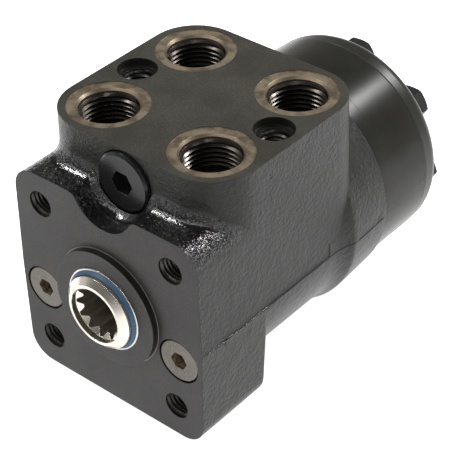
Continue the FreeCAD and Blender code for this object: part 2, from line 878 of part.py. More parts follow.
def spool():
    """The inner valve part, which the steering shaft turns: socket, spring slot and pin window."""
    rear = d.housing_length - d.spool_rear_gap
    mouth_end = d.spool_front + d.socket_mouth_depth
    body = turned("spool", [
        (d.socket_mouth, d.spool_front),
        (d.spool_nose_radius, d.spool_front),
        (d.spool_radius, d.spool_front + d.spool_nose_length),
        (d.spool_radius, rear),
        (d.spool_hollow, rear),
        (d.spool_hollow, d.socket_end + 1),
        (d.socket_minor, d.socket_end),
        (d.socket_minor, mouth_end + d.socket_chamfer),
        (d.socket_mouth, mouth_end),
    ])
    inside = d.socket_minor - 0.5
    half_pitch = math.pi * d.socket_pitch / d.socket_teeth / 2
    half_mouth = half_pitch + (d.socket_pitch - inside) * slope(d.socket_flank)
    half_root = half_pitch - (d.socket_major - d.socket_pitch) * slope(d.socket_flank)
    pressed(body, "spline_space", [
        (-half_mouth, inside),
        (half_mouth, inside),
        (half_root, d.socket_major),
        (-half_root, d.socket_major),
    ], mouth_end, d.socket_end - mouth_end, count=d.socket_teeth)
    pressed(body, "spool_groove", rectangle(
        -d.spool_groove_width / 2, d.spool_groove_width / 2,
        d.spool_radius - d.spool_groove_depth, d.spool_radius + 1),
        d.spool_groove_start, d.spool_groove_length, count=d.spool_groove_count)
    slot = leaf_slot("spool_slot", d.spool_radius + 1)
    window = cylinder("pin_window", d.pin_window_radius, 2 * d.spool_radius + 4,
                      0, d.cross_pin_y, -d.spool_radius - 2, "Z")
    keep("spool", cut("finished_spool", body, [slot, window]))


def leaf_slot(name, reach):
    """The slot across the axis that the centring springs lie in."""
    play = d.leaf_slot_clearance
    height = (d.leaf_thickness + d.leaf_gap) * 3 + d.leaf_bow + play
    return box(name, -reach, reach, d.leaf_front - play, leaf_rear + play, -height, height)


def sleeve():
    """The outer valve part, which turns in the housing: ring seat, slot, pin hole and ports."""
    inner = d.spool_radius + d.slip
    outer = d.bore_radius - d.slip
    seat_end = d.spring_ring_front + d.spring_ring_length + d.leaf_slot_clearance
    body = turned("sleeve_blank", [
        (inner, d.sleeve_front),
        (d.ring_seat_radius, d.sleeve_front),
        (d.ring_seat_radius, seat_end),
        (outer, seat_end),
        (outer, d.housing_length - d.sleeve_rear_gap),
        (inner, d.housing_length - d.sleeve_rear_gap),
    ])
    half = d.feed_slot_width / 2
    pressed(body, "feed_slot", rectangle(-half, half, inner - 1, outer + 1),
            feed_centre - d.feed_slot_length / 2, d.feed_slot_length, count=d.feed_slot_count)
    beyond = d.bore_radius + 1
    tools = [
        leaf_slot("sleeve_slot", beyond),
        cylinder("pin_hole", d.cross_pin_radius, 2 * beyond, 0, d.cross_pin_y, -beyond, "Z"),
    ]
    count = int(d.spool_groove_count.number)
    for row in range(2):
        for i in range(count // 2):
            tools.append(spoke(f"sleeve_hole_{row + 1}_{i + 1}", d.sleeve_hole_radius, -beyond, beyond,
                               d.sleeve_hole_start + row * d.sleeve_hole_pitch, 360.0 * i / count))
    keep("sleeve", cut("sleeve", body, tools))


def centring_springs():
    """Two flat leaves in the middle of the slot, and two bowed pairs that press it apart."""
    ring_end = d.spring_ring_front + d.spring_ring_length
    keep("spring_ring", turned("spring_ring", tube(
        d.ring_seat_radius + d.slip, d.spring_ring_radius, d.spring_ring_front, ring_end)))
    thickness = d.leaf_thickness.number
    gap = d.leaf_gap.number
    flats = [leaf(gap / 2, thickness, 0), leaf(-gap / 2 - thickness, thickness, 0)]
    bowed = []
    for sign in (1, -1):
        for i in range(2):
            start = gap / 2 + thickness + gap + i * (thickness + gap)
            bowed.append(leaf(sign * start if sign > 0 else -start - thickness, thickness,
                              sign * d.leaf_bow.number))
    for node, leaves in (("flat_springs", flats), ("bowed_springs", bowed)):
        group = doc.addObject("Part::Feature", node)
        group.Shape = Part.makeCompound(leaves)
        keep(node, group)


def leaf(start, thickness, bow):
    """One leaf spring: a strip along X, whose ends stand off its middle by the bow."""
    end = d.leaf_half_length.number
    lower = strip_edge(start, bow, end)
    upper = strip_edge(start + thickness, bow, end)
    ends = [Part.makeLine(Vector(x, 0, start + bow), Vector(x, 0, start + thickness + bow))
            for x in (-end, end)]
    outline = Part.Wire(Part.__sortEdges__([lower, ends[1], upper, ends[0]]))
    strip = Part.Face(outline).extrude(Vector(0, d.leaf_width.number, 0))
    strip.translate(Vector(0, d.leaf_front.number, 0))
    return strip


def strip_edge(height, bow, end):
    left, right = Vector(-end, 0, height + bow), Vector(end, 0, height + bow)
    if bow == 0:
        return Part.makeLine(left, right)
    return Part.Arc(left, Vector(0, 0, height), right).toShape()


def cross_pin():
    half = d.cross_pin_half_length
    keep("cross_pin", cylinder("cross_pin", d.cross_pin_radius - d.slip / 3, 2 * half,
                               0, d.cross_pin_y, -half, "Z"))


def tilt_of_cardan():
    """The cardan's slope: its head lies on the rotor's centre, its fork on the shaft axis."""
    head_middle = cardan_head_front.number + d.cardan_head_length.number / 2
    return math.degrees(math.atan(d.eccentricity.number / head_middle))


def cardan_shaft():
    """Measured from the cross pin: a fork in front, a slim shaft and a splined head."""
    head_end = cardan_head_front + d.cardan_head_length
    body = turned("cardan_blank", [
        (0, -d.fork_front),
        (d.fork_radius - d.fork_chamfer, -d.fork_front),
        (d.fork_radius, d.fork_chamfer - d.fork_front),
        (d.fork_radius, d.fork_rear),
        (d.cardan_radius, d.fork_rear + d.fork_taper),
        (d.cardan_radius, cardan_head_front - d.cardan_head_taper),
        (d.spline_root, cardan_head_front),
        (d.spline_root, head_end),
        (d.cardan_radius, head_end + 1),
        (0, head_end + 1),
    ])
    half = d.spline_tooth / 2
    pressed(body, "cardan_tooth", rectangle(-half, half, d.spline_root - 1, d.spline_tip),
            cardan_head_front, d.cardan_head_length, "Pad", d.spline_count)
    half = d.cross_pin_radius + d.fork_clearance
    reach = d.fork_radius + 1
    pressed(body, "fork_slot", rectangle(-half, half, -reach, reach),
            -d.fork_front - 1, d.fork_front + 1 + d.fork_slot_depth)
    place(body, 0, d.cross_pin_y, 0, Rotation(Vector(1, 0, 0), -tilt_of_cardan()))
    keep("cardan_shaft", body)


def rotor():
    """The star: the ring's tooth centres trace its outline, less their radius, as it rolls."""
    spread = d.tooth_circle.number
    offset = d.eccentricity.number
    inward = d.tooth_radius.number + d.gear_clearance.number
    steps = 12 * ROTOR_TEETH
    points = []
    for i in range(steps):
        beta = 2 * math.pi * i / steps
        fast = (ROTOR_TEETH + 1) * beta
        path = Vector(spread * math.cos(beta) + offset * math.cos(fast), 0,
                      spread * math.sin(beta) + offset * math.sin(fast))
        heading = Vector(-spread * math.sin(beta) - (ROTOR_TEETH + 1) * offset * math.sin(fast), 0,
                         spread * math.cos(beta) + (ROTOR_TEETH + 1) * offset * math.cos(fast))
        outward = Vector(heading.z, 0, -heading.x).normalize()
        points.append(path - outward * inward)
    outline = Part.BSplineCurve()
    outline.interpolate(points, PeriodicFlag=True)
    width = d.gear_width.number - 2 * d.side_clearance.number
    star = Part.Face(Part.Wire(outline.toShape())).extrude(Vector(0, width, 0))
    blank = doc.addObject("Part::Feature", "rotor_blank")
    blank.Shape = star
    place(blank, 0, gear_front + d.side_clearance, -d.eccentricity, Rotation(Vector(0, 1, 0), -TOP))
    bore = turned("rotor_bore", rod(d.spline_root + d.spline_clearance, gear_front - 1, cover_front + 1),
                  z=-d.eccentricity)
    half = d.spline_tooth / 2 + d.spline_clearance
    pressed(bore, "rotor_space", rectangle(-half, half, d.spline_root - 1, d.spline_tip + d.spline_clearance),
            gear_front - 1, d.gear_width + 2, "Pad", d.spline_count)
    keep("rotor", cut("rotor", blank, bore))


def spacer():
    radius = d.spline_root + d.spline_clearance - d.spacer_gap
    keep("spacer", turned("spacer", rod(radius, spacer_start, cover_front - 4 * d.side_clearance),
                          z=-d.eccentricity))


def screw_holes(y0, y1, name):
    holes = []
    for i, angle in enumerate(screw_angles):
        x, z = polar(d.screw_circle, angle)
        holes.append(cylinder(f"{name}_{i + 1}", d.screw_thread + d.screw_clearance, y1 - y0 + 2,
                              x, y0 - 1, z))
    return holes


def gear_case():
    """The distributor plate, the toothed ring and the end cover behind the housing."""
    edge = d.joint_chamfer
    plate = turned("plate_blank", [
        (d.plate_hole, plate_front),
        (d.band_radius - edge, plate_front),
        (d.band_radius, plate_front + edge),
        (d.band_radius, gear_front),
        (d.plate_hole, gear_front),
    ])
    tools = screw_holes(plate_front, gear_front, "plate_hole")
    for i, angle in enumerate(channel_angles):
        x, z = polar(d.channel_circle, angle)
        tools.append(cylinder(f"plate_channel_{i + 1}", d.channel_radius, d.plate_thickness + 2,
                              x, plate_front - 1, z))
    keep("distributor_plate", cut("distributor_plate", plate, tools))

    ring = turned("ring_blank", [
        (0, gear_front),
        (d.band_radius, gear_front),
        (d.band_radius, cover_front - edge),
        (d.band_radius - edge, cover_front),
        (0, cover_front),
    ])
    root = d.tooth_circle - d.tooth_radius + 2 * d.eccentricity + d.root_clearance
    room = cylinder("gear_room", root, d.gear_width + 2, y=gear_front - 1)
    teeth = []
    for i, angle in enumerate(screw_angles):
        x, z = polar(d.tooth_circle, angle)
        teeth.append(cylinder(f"ring_tooth_{i + 1}", d.tooth_radius, d.gear_width + 4, x, gear_front - 2, z))
    tools = screw_holes(gear_front, cover_front, "ring_hole")
    tools.append(cut("gear_room_with_teeth", room, teeth))
    tools.append(seal_groove("front_ring_groove", gear_front, -1))
    tools.append(seal_groove("rear_ring_groove", cover_front, 1))
    keep("gear_ring", cut("gear_ring", ring, tools))

    cover = turned("cover_blank", [
        (0, cover_front),
        (d.cover_radius - edge, cover_front),
        (d.cover_radius, cover_front + edge),
        (d.cover_radius, cover_rear),
        (0, cover_rear),
    ])
    cover = rounded("cover_rounded", cover, d.cover_round, on_cover_rim)
    keep("end_cover", cut("end_cover", cover, screw_holes(cover_front, cover_rear, "cover_hole")))


def on_cover_rim(points):
    return all(abs(point.y - cover_rear.number) < 0.01 for point in points)


def seal_rings():
    inner = d.seal_ring_radius - d.seal_ring_width / 2
    outer = d.seal_ring_radius + d.seal_ring_width / 2
    faces = (("housing_seal_ring", d.housing_length, 1),
             ("front_gear_seal_ring", gear_front, -1),
             ("rear_gear_seal_ring", cover_front, 1))
    for node, face, sign in faces:
        ends = [face - sign * d.seal_ring_height, face]
        keep(node, turned(node, tube(inner, outer, *ends[::sign])))


def cover_screws():
    """Six plain screws, the special one with its stop pin, and a washer under each head."""
    plain = []
    washers = []
    for i, angle in enumerate(screw_angles):
        x, z = polar(d.screw_circle, angle)
        shank = [(0, screw_tip), (d.screw_thread - 1, screw_tip),
                 (d.screw_thread - d.slip, screw_tip + 1), (d.screw_thread - d.slip, washer_rear + 1),
                 (0, washer_rear + 1)]
        if angle == valve_angles["check"]:
            pin_end = screw_tip - stop_pin_length()
            shank[:1] = [(0, pin_end), (d.stop_pin_radius, pin_end), (d.stop_pin_radius, screw_tip)]
        screw = turned(f"screw_{i + 1}", shank, x, 0, z)
        pressed(screw, f"screw_head_{i + 1}", hexagon(d.screw_head_across), washer_rear,
                d.screw_head_height, "Pad")
        sloped_corners(screw, f"screw_slope_{i + 1}")
        if angle == valve_angles["check"]:
            keep("special_screw", screw)
        else:
            plain.append(screw)
        washers.append(turned(f"washer_{i + 1}", tube(
            d.screw_thread + d.screw_clearance, d.washer_radius, cover_rear, washer_rear), x, 0, z))
    for node, pieces in (("cover_screws", plain), ("cover_washers", washers)):
        group = doc.addObject("Part::Compound", node)
        group.Links = pieces
        keep(node, group)


def sloped_corners(screw, name):
    """Turns the corners off a hexagon head, as on a pressed screw."""
    head_rear = washer_rear + d.screw_head_height
    flat = d.screw_head_across / 2 * d.screw_head_flat
    reach = d.screw_head_across
    drop = slope(d.screw_head_slope)
    sketch = sketch_on(screw, "XY_Plane", f"{name}_outline")
    draw(sketch, [
        (flat, head_rear),
        (reach, head_rear),
        (reach, head_rear - (reach - flat) * drop),
    ])
    groove = screw.newObject("PartDesign::Groove", name)
    groove.Profile = sketch
    groove.ReferenceAxis = (sketch, ["V_Axis"])
    groove.Angle = 360
    screw.Tip = groove


def stop_pin_length():
    """From the screw's tip to the lifted ball."""
    ball_top = valve_seat + 2 * d.valve_ball + seat_rise(d.valve_ball, d.seat_hole)
    return screw_tip - ball_top - d.valve_lift - d.stop_pin_gap


def seat_rise(ball, hole):
    """How far a ball's lowest point stands above the edge of the hole that it closes."""
    depth = ball.number - math.sqrt(ball.number ** 2 - hole.number ** 2)
    text = f"(sqrt({ball.text} * {ball.text} - {hole.text} * {hole.text}) - {ball.text} + {d.slip.text})"
    return Size(d.slip.number - depth, text)


def ball_on_seat(node, radius, hole, seat, x, z, side=1):
    """A ball that rests on the edge of a hole; the side says where it lies along Y."""
    ball = doc.addObject("Part::Sphere", node)
    bind(ball, "Radius", radius)
    place(ball, x, seat + side * (radius + seat_rise(radius, hole)), z)
    keep(node, ball)


def rear_valves():
    """The check valve's ball, and the suction valves' balls with their stop pins."""
    for name, angle in valve_angles.items():
        x, z = polar(d.screw_circle, angle)
        ball_on_seat(f"{name}_ball", d.valve_ball, d.seat_hole, valve_seat, x, z)
        if name != "check":
            length = stop_pin_length()
            keep(f"{name}_pin", turned(f"{name}_pin", rod(d.stop_pin_radius, screw_tip - length, screw_tip),
                                       x, 0, z))


def coil(name, radius, wire, turns, start, end, x, z):
    """A spring of square wire between two places along Y, round an axis at x and z."""
    half = wire.number / 2
    length = end.number - start.number - wire.number
    helix = Part.makeHelix(length / turns.number, length, radius.number)
    profile = Part.makePolygon([
        Vector(radius.number + across * half, 0, up * half)
        for across, up in ((-1, -1), (1, -1), (1, 1), (-1, 1), (-1, -1))])
    sweep = Part.Wire(helix.Edges).makePipeShell([profile], True, True)
    spring = doc.addObject("Part::Feature", name)
    spring.Shape = sweep
    place(spring, x, start + wire / 2, z, CYLINDER_TURN["Y"])
    return keep(name, spring)


def relief_valve():
    recess_end = d.block_front + d.relief_recess_depth
    head_front = d.block_front - d.relief_head_stand
    head_rear = recess_end - d.relief_washer
    shank_end = recess_end + d.relief_thread_length - d.relief_thread_end
    shank = d.relief_thread - d.slip
    up = d.relief_height
    plug = turned("relief_plug", [
        (0, head_front),
        (d.relief_head - d.relief_head_chamfer, head_front),
        (d.relief_head, head_front + d.relief_head_chamfer),
        (d.relief_head, head_rear),
        (shank, head_rear),
        (shank, shank_end),
        (0, shank_end),
    ], 0, 0, up)
    pressed(plug, "relief_socket", hexagon(d.relief_socket_across), head_front, d.relief_socket_depth)
    keep("relief_plug", plug)
    keep("relief_washer", turned("relief_washer", tube(
        d.relief_thread + d.slip, d.relief_recess - d.plug_washer_play, head_rear, recess_end), 0, 0, up))
    seat_front = d.relief_bore_end - d.relief_seat_length
    poppet_front = seat_front - d.relief_poppet_length
    keep("relief_seat", turned("relief_seat", tube(
        d.relief_seat_hole, d.relief_bore - d.slip, seat_front, d.relief_bore_end), 0, 0, up))
    guide = d.relief_poppet_radius
    keep("relief_poppet", turned("relief_poppet", [
        (0, poppet_front),
        (guide, poppet_front),
        (guide, seat_front - d.relief_cone_length),
        (d.relief_seat_hole, seat_front - d.slip),
        (0, seat_front - d.slip),
    ], 0, 0, up))
    coil("relief_spring", d.relief_spring_radius, d.relief_spring_wire, d.relief_spring_turns,
         shank_end + d.spring_end_gap, poppet_front - d.spring_end_gap, 0, up)


def shock_valves():
    for side, sign in SIDES.items():
        x, z = sign * d.shock_x, d.shock_z
        head_rear = d.shock_recess_depth - d.shock_washer
        shank = d.shock_bore - d.slip
        shank_end = d.shock_recess_depth + d.shock_shank_length
        plug = turned(f"{side}_shock_plug", [
            (0, d.shock_head_stand),
            (d.shock_head - d.shock_head_chamfer, d.shock_head_stand),
            (d.shock_head, d.shock_head_stand + d.shock_head_chamfer),
            (d.shock_head, head_rear),
            (shank, head_rear),
            (shank, shank_end),
            (0, shank_end),
        ], x, 0, z)
        pressed(plug, f"{side}_shock_socket", hexagon(d.shock_socket_across), d.shock_head_stand,
                d.shock_socket_depth)
        keep(f"{side}_shock_plug", plug)
        keep(f"{side}_shock_washer", turned(f"{side}_shock_washer", tube(
            d.shock_bore + d.slip, d.shock_recess - d.plug_washer_play, head_rear,
            d.shock_recess_depth), x, 0, z))
        seat_front = d.shock_bore_end - d.shock_seat_length
        keep(f"{side}_shock_seat", turned(f"{side}_shock_seat", tube(
            d.shock_seat_hole, d.shock_bore - d.slip, seat_front, d.shock_bore_end), x, 0, z))
        ball_on_seat(f"{side}_shock_ball", d.shock_ball, d.shock_seat_hole, seat_front, x, z, -1)
        ball_front = seat_front - 2 * d.shock_ball - seat_rise(d.shock_ball, d.shock_seat_hole)
        coil(f"{side}_shock_spring", d.shock_spring_radius, d.shock_spring_wire, d.shock_spring_turns,
             shank_end + d.spring_end_gap, ball_front + d.shock_ball_nest, x, z)


def build():
    housing()
    shaft_seals()
    thrust_bearing()
    spool()
    sleeve()
    centring_springs()
    cross_pin()
    cardan_shaft()
    rotor()
    spacer()
    gear_case()
    seal_rings()
    cover_screws()
    rear_valves()
    relief_valve()
    shock_valves()
    doc.recompute()


def check():
    for thing in doc.Objects:
        if "Invalid" in thing.State or "Error" in thing.State:
            raise RuntimeError(f"{thing.Label} failed: {thing.State}")
    for node, thing in nodes.items():
        shape = thing.Shape
        if shape.isNull() or not shape.isValid() or not shape.Solids:
            raise RuntimeError(f"{node} has no sound shape")


def export():
    os.makedirs("parts", exist_ok=True)
    for node, thing in nodes.items():
        thing.Shape.exportStep(f"parts/{node}.step")
        room = thing.Shape.BoundBox
        print(f"{node:22s} solids {len(thing.Shape.Solids):2d} faces {len(thing.Shape.Faces):4d} "
              f"volume {thing.Shape.Volume:10.1f}  y {room.YMin:7.2f} to {room.YMax:7.2f}")


build()
check()
export()
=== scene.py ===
import json
import math
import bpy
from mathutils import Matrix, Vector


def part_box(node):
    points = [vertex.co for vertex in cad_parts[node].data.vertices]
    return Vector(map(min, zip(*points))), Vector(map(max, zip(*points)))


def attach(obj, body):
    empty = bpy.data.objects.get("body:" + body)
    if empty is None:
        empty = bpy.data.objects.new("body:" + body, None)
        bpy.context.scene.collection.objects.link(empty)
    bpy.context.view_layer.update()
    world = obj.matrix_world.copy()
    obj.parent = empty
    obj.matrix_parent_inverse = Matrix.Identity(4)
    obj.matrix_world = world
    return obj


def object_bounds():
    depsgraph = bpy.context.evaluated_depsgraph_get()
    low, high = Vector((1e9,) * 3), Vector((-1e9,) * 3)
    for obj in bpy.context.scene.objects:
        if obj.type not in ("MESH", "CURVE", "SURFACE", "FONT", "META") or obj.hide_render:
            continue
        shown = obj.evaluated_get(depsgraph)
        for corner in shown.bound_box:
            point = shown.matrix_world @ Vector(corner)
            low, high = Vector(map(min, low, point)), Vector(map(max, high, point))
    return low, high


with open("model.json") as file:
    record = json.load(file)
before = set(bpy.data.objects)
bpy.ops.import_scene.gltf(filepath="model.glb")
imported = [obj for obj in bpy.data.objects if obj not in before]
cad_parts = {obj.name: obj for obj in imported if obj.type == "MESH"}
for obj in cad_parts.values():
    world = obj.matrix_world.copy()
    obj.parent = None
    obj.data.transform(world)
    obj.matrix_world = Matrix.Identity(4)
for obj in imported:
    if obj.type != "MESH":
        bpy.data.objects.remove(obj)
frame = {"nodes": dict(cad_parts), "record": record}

from types import SimpleNamespace

import bmesh
import bpy
from bpy.props import FloatProperty, FloatVectorProperty, IntProperty, PointerProperty
from mathutils import Matrix, Vector, noise
from mathutils.bvhtree import BVHTree

bl_info = {
    "name": "Orbital steering unit",
    "version": (1, 0, 0),
    "blender": (4, 5, 0),
    "location": "3D View > Sidebar > Steering unit",
    "description": "Paint, machined faces, threads, seals and studio for a hydraulic steering unit",
    "category": "Object",
}

MM = 0.001
CAD_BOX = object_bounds()
MOUNTS = {mount["name"]: mount for mount in frame["record"]["mounts"]}
PORTS = [mount for name, mount in MOUNTS.items() if name.endswith("_port")]
PORT_THREAD = PORTS[0]["dims"]["r_mm"] * MM
PORT_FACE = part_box("housing")[1].z
BOSS_RADIUS = MOUNTS["pilot_boss"]["dims"]["r_mm"] * MM
SCREW_THREAD = MOUNTS["column_bolts"]["dims"]["hole_r_mm"] * MM
HALF_COLUMN = MOUNTS["column_bolts"]["dims"]["spacing_x_mm"] * MM / 2
HALF_BLOCK = MOUNTS["block_screws"]["dims"]["spacing_x_mm"] * MM / 2
REAR_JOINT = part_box("distributor_plate")[0].y
SHOCK_CENTRES = [(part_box(f"{side}_shock_plug")[0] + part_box(f"{side}_shock_plug")[1]) / 2
                 for side in ("left", "right")]

# Depths and radii that tell the faces of the casting apart
PORT_REACH = 25 * MM
SPOT_FACE_DEPTH = 0.5 * MM
SPOT_FACE_RADIUS = 14.7 * MM
MOUTH_DEPTH = 2.4 * MM
COUNTERBORE_RADIUS = SCREW_THREAD + 4.5 * MM
PLUG_BORE_RADIUS = 9 * MM
SEAL_BORE_RADIUS = 16 * MM
FRONT_REACH = 24 * MM
SHELF_END = 35 * MM

# How finely the flanks are divided: along the shaft, up the wall, round the corner, and over how many
# of the corner's steps the cove fades in
FLANK_STEP = 0.5 * MM
FLANK_WALL_STEPS = 9
FLANK_CORNER_STEPS = 24
FLANK_COVE_STEPS = 10

# Name, direction from the unit, distance in metres, width and height, which power, and the share of it
LAMPS = (
    ("key_lamp", (0.31, 0.63, 0.70), 1.1, (0.2, 0.12), "key_power", 1.0),
    ("high_lamp", (-0.57, -0.18, 0.8), 1.1, (0.13, 0.08), "high_power", 1.0),
    ("front_strip", (0.0, -0.55, 0.78), 1.1, (2.2, 0.06), "strip_power", 1.0),
    ("right_soft_box", (0.9, 0.1, 0.35), 1.2, (0.5, 0.7), "fill_power", 1.0),
    ("left_soft_box", (-0.75, -0.25, 0.55), 1.1, (0.5, 0.9), "fill_power", 0.4),
)


def colour_property(name, description, default):
    return FloatVectorProperty(name=name, description=description, subtype="COLOR", size=3,
                               min=0, max=1, default=default)


def length_property(name, description, millimetres):
    return FloatProperty(name=name, description=description, default=millimetres * MM,
                         min=0, subtype="DISTANCE", unit="LENGTH")


class PaintSizes(bpy.types.PropertyGroup):
    """The black paint, on cast skin and on machined faces, with the painted light and shade laid on it"""
    cast_colour: colour_property("Cast paint", "Colour of the paint on the cast skin",
                                 (0.011, 0.011, 0.0098))
    # Darker colour in the pits of the cast skin: painted shade in those hollows
    pit_shade_colour: colour_property("Pits", "Colour in the small pits of the cast skin", (0.006, 0.006, 0.006))
    # A darker black on up-facing cast skin near the front: painted shade over the thick glossy paint there
    wet_shade_colour: colour_property("Thick paint", "Colour of the thick, wet paint on the shelf",
                                (0.005, 0.005, 0.0045))
    face_colour: colour_property("Face paint", "Colour of the thin paint on machined faces",
                                 (0.025, 0.0237, 0.0232))
    # The port face's own olive paint, set lighter than the front faces' paint as painted light on the top face
    port_paint_and_light_colour: colour_property("Port face", "Colour of the paint on the port face",
                                 (0.044, 0.0425, 0.035))
    # A light ring round the foot of the boss: a painted highlight
    boss_foot_highlight_colour: colour_property("Boss foot", "Colour of the bare line round the foot of the boss",
                                 (0.2, 0.19, 0.17))
    ring_colour: colour_property("Spot faces", "Colour of the bare rings round the ports",
                                 (0.3, 0.245, 0.17))
    stain_colour: colour_property("Stains", "Colour of the stains on those rings", (0.13, 0.1, 0.07))
    bore_colour: colour_property("Bores", "Colour of the oiled iron in the holes", (0.05, 0.048, 0.046))
    mouth_colour: colour_property("Port mouths", "Colour of the chamfers above the port threads",
                                  (0.17, 0.135, 0.095))
    # Black in the block screws' counterbores: painted shade in those recesses
    sunk_shade_colour: colour_property("Counterbores", "Colour of the paint in the block screws' counterbores",
                                 (0.012, 0.012, 0.011))
    grain_size: length_property("Grain", "Size of the pebbles in the cast skin", 1.5)
    grain_depth: length_property("Grain depth", "Height of the pebbles in the cast skin", 0.5)


class FinishSizes(bpy.types.PropertyGroup):
    """Colours of the pieces beside the housing"""
    band: colour_property("Band", "Paint of the gear ring and the plate", (0.019, 0.0187, 0.016))
    cover: colour_property("Cover", "Paint of the end cover", (0.022, 0.0217, 0.0185))
    screws: colour_property("Screws", "Paint of the cover screws", (0.018, 0.018, 0.018))
    relief_plug: colour_property("Relief plug", "Black of the relief plug", (0.008, 0.008, 0.008))
    zinc: colour_property("Zinc", "Dull zinc of the shock plugs", (0.13, 0.12, 0.105))
    light_rust: colour_property("Light rust", "Rust in their sockets", (0.2, 0.125, 0.07))
    dark_rust: colour_property("Dark rust", "Darker rust in their sockets", (0.06, 0.045, 0.033))
    seal_case: colour_property("Seal case", "Bright case of the dust seal", (0.6, 0.6, 0.58))
    lapped: colour_property("Spool", "Lapped steel of the spool", (0.78, 0.735, 0.65))
    ground: colour_property("Ground steel", "Steel of balls, needles and races", (0.6, 0.6, 0.59))
    forged: colour_property("Forged steel", "Steel of the cardan and its like", (0.36, 0.36, 0.36))
    springs: colour_property("Springs", "Steel of the springs", (0.3, 0.29, 0.28))
    blue_rubber: colour_property("Blue rubber", "Lip of the dust seal", (0.018, 0.058, 0.115))
    black_rubber: colour_property("Black rubber", "Seal rings", (0.012, 0.012, 0.012))
    port_thread: colour_property("Port threads", "Oiled iron of the port threads", (0.055, 0.049, 0.042))
    screw_thread: colour_property("Screw threads", "Iron of the screw threads", (0.05, 0.049, 0.046))


class ThreadSizes(bpy.types.PropertyGroup):
    """Pitch and depth of the threads"""
    port_pitch: length_property("Port pitch", "From crest to crest in the ports", 1.814)
    port_depth: length_property("Port thread depth", "From root to crest in the ports", 1.16)
    screw_pitch: length_property("Screw pitch", "From crest to crest in the screw holes", 1.5)
    screw_depth: length_property("Screw thread depth", "From root to crest in the screw holes", 0.81)
    block_reach: length_property("Block screw thread", "Length of the threads in the port face", 18)
    column_reach: length_property("Column screw thread", "Length of the threads in the front face", 20)
    steps: IntProperty(name="Steps", description="Steps in each turn of a thread", default=48, min=12)


class FlashSizes(bpy.types.PropertyGroup):
    """The thin flash that the two halves of the mould left on their parting line"""
    height: length_property("Height", "How far the flash stands off the casting", 0.28)
    width: length_property("Width", "Width of the flash at its foot", 0.8)
    parting: FloatProperty(name="Parting line", description="Height of the parting line", unit="LENGTH",
                           subtype="DISTANCE", default=-1.5 * MM)
    step: length_property("Step", "Length of each piece along the line", 0.5)


class FlankSizes(bpy.types.PropertyGroup):
    """The flush side wall between the front flange and the port block"""
    half_width: length_property("Half width", "From the shaft to the side wall at the parting line", 41.4)
    parting: FloatProperty(name="Parting line", description="Height of the parting line", unit="LENGTH",
                           subtype="DISTANCE", default=-1.5 * MM)
    draft: FloatProperty(name="Draft", description="How far the side walls lean in", unit="ROTATION",
                         subtype="ANGLE", default=math.radians(1.0))
    top: length_property("Flange top", "Height of the flange above the shaft", 41.0)
    corner: length_property("Flange corner", "Radius of the flange's upper corners", 9.0)
    block_front: length_property("Block front", "Where the port block starts", 12.0)
    block_corner: length_property("Block corner", "Radius of the port block's upright corners", 17.5)
    inner: length_property("Inner side", "Where the fill ends inside the casting", 35.8)
    cove: length_property("Cove", "Radius where the shelf meets the block's corner", 3.6)
    cove_end: length_property("Cove end", "Radius where that cove runs out on the side wall", 0.8)
    proud: length_property("Proud", "How far the fill covers the walls beside it", 0.05)
    feather: length_property("Feather", "Length over which it runs out on them", 4.0)


class StudioSizes(bpy.types.PropertyGroup):
    """Floor, lights and camera"""
    floor_glow: FloatProperty(name="Floor glow", description="How brightly the white table shines", default=0.95)
    far_glow: FloatProperty(name="Far glow", description="How brightly the table's far edge shines",
                            default=0.42)
    table_half: FloatProperty(name="Table", description="Half the width of the table", default=3.0,
                              subtype="DISTANCE", unit="LENGTH")
    wall_glow: FloatProperty(name="Wall glow", description="How brightly the pale walls shine", default=0.6)
    sky_glow: FloatProperty(name="Room glow", description="How brightly the dim ceiling shines", default=0.1)
    key_power: FloatProperty(name="Key", description="Power of the lamp behind the unit", subtype="POWER",
                             unit="POWER", default=8.5)
    high_power: FloatProperty(name="High lamp", description="Power of the small lamp overhead", subtype="POWER",
                              unit="POWER", default=4)
    strip_power: FloatProperty(name="Strip", description="Power of the strip light above the front",
                               subtype="POWER", unit="POWER", default=6)
    fill_power: FloatProperty(name="Fill", description="Power of the soft boxes in front", subtype="POWER",
                              unit="POWER", default=2)
    camera_place: FloatVectorProperty(name="Camera place", description="Where the photograph was taken from",
                                      subtype="XYZ_LENGTH", unit="LENGTH", size=3,
                                      default=(0.3060, -0.2943, 0.3514))
    camera_lens: FloatProperty(name="Lens", description="Focal length for a 36 mm sensor", default=129.7,
                               subtype="DISTANCE_CAMERA", unit="CAMERA")
    camera_azimuth: FloatProperty(name="Azimuth", description="Camera's angle round the unit", unit="ROTATION",
                                  subtype="ANGLE", default=math.radians(40.72))
    camera_elevation: FloatProperty(name="Elevation", description="Camera's height angle", unit="ROTATION",
                                    subtype="ANGLE", default=math.radians(37.0))
    camera_roll: FloatProperty(name="Roll", description="Camera's turn about its own line", unit="ROTATION",
                               subtype="ANGLE", default=math.radians(-1.32))


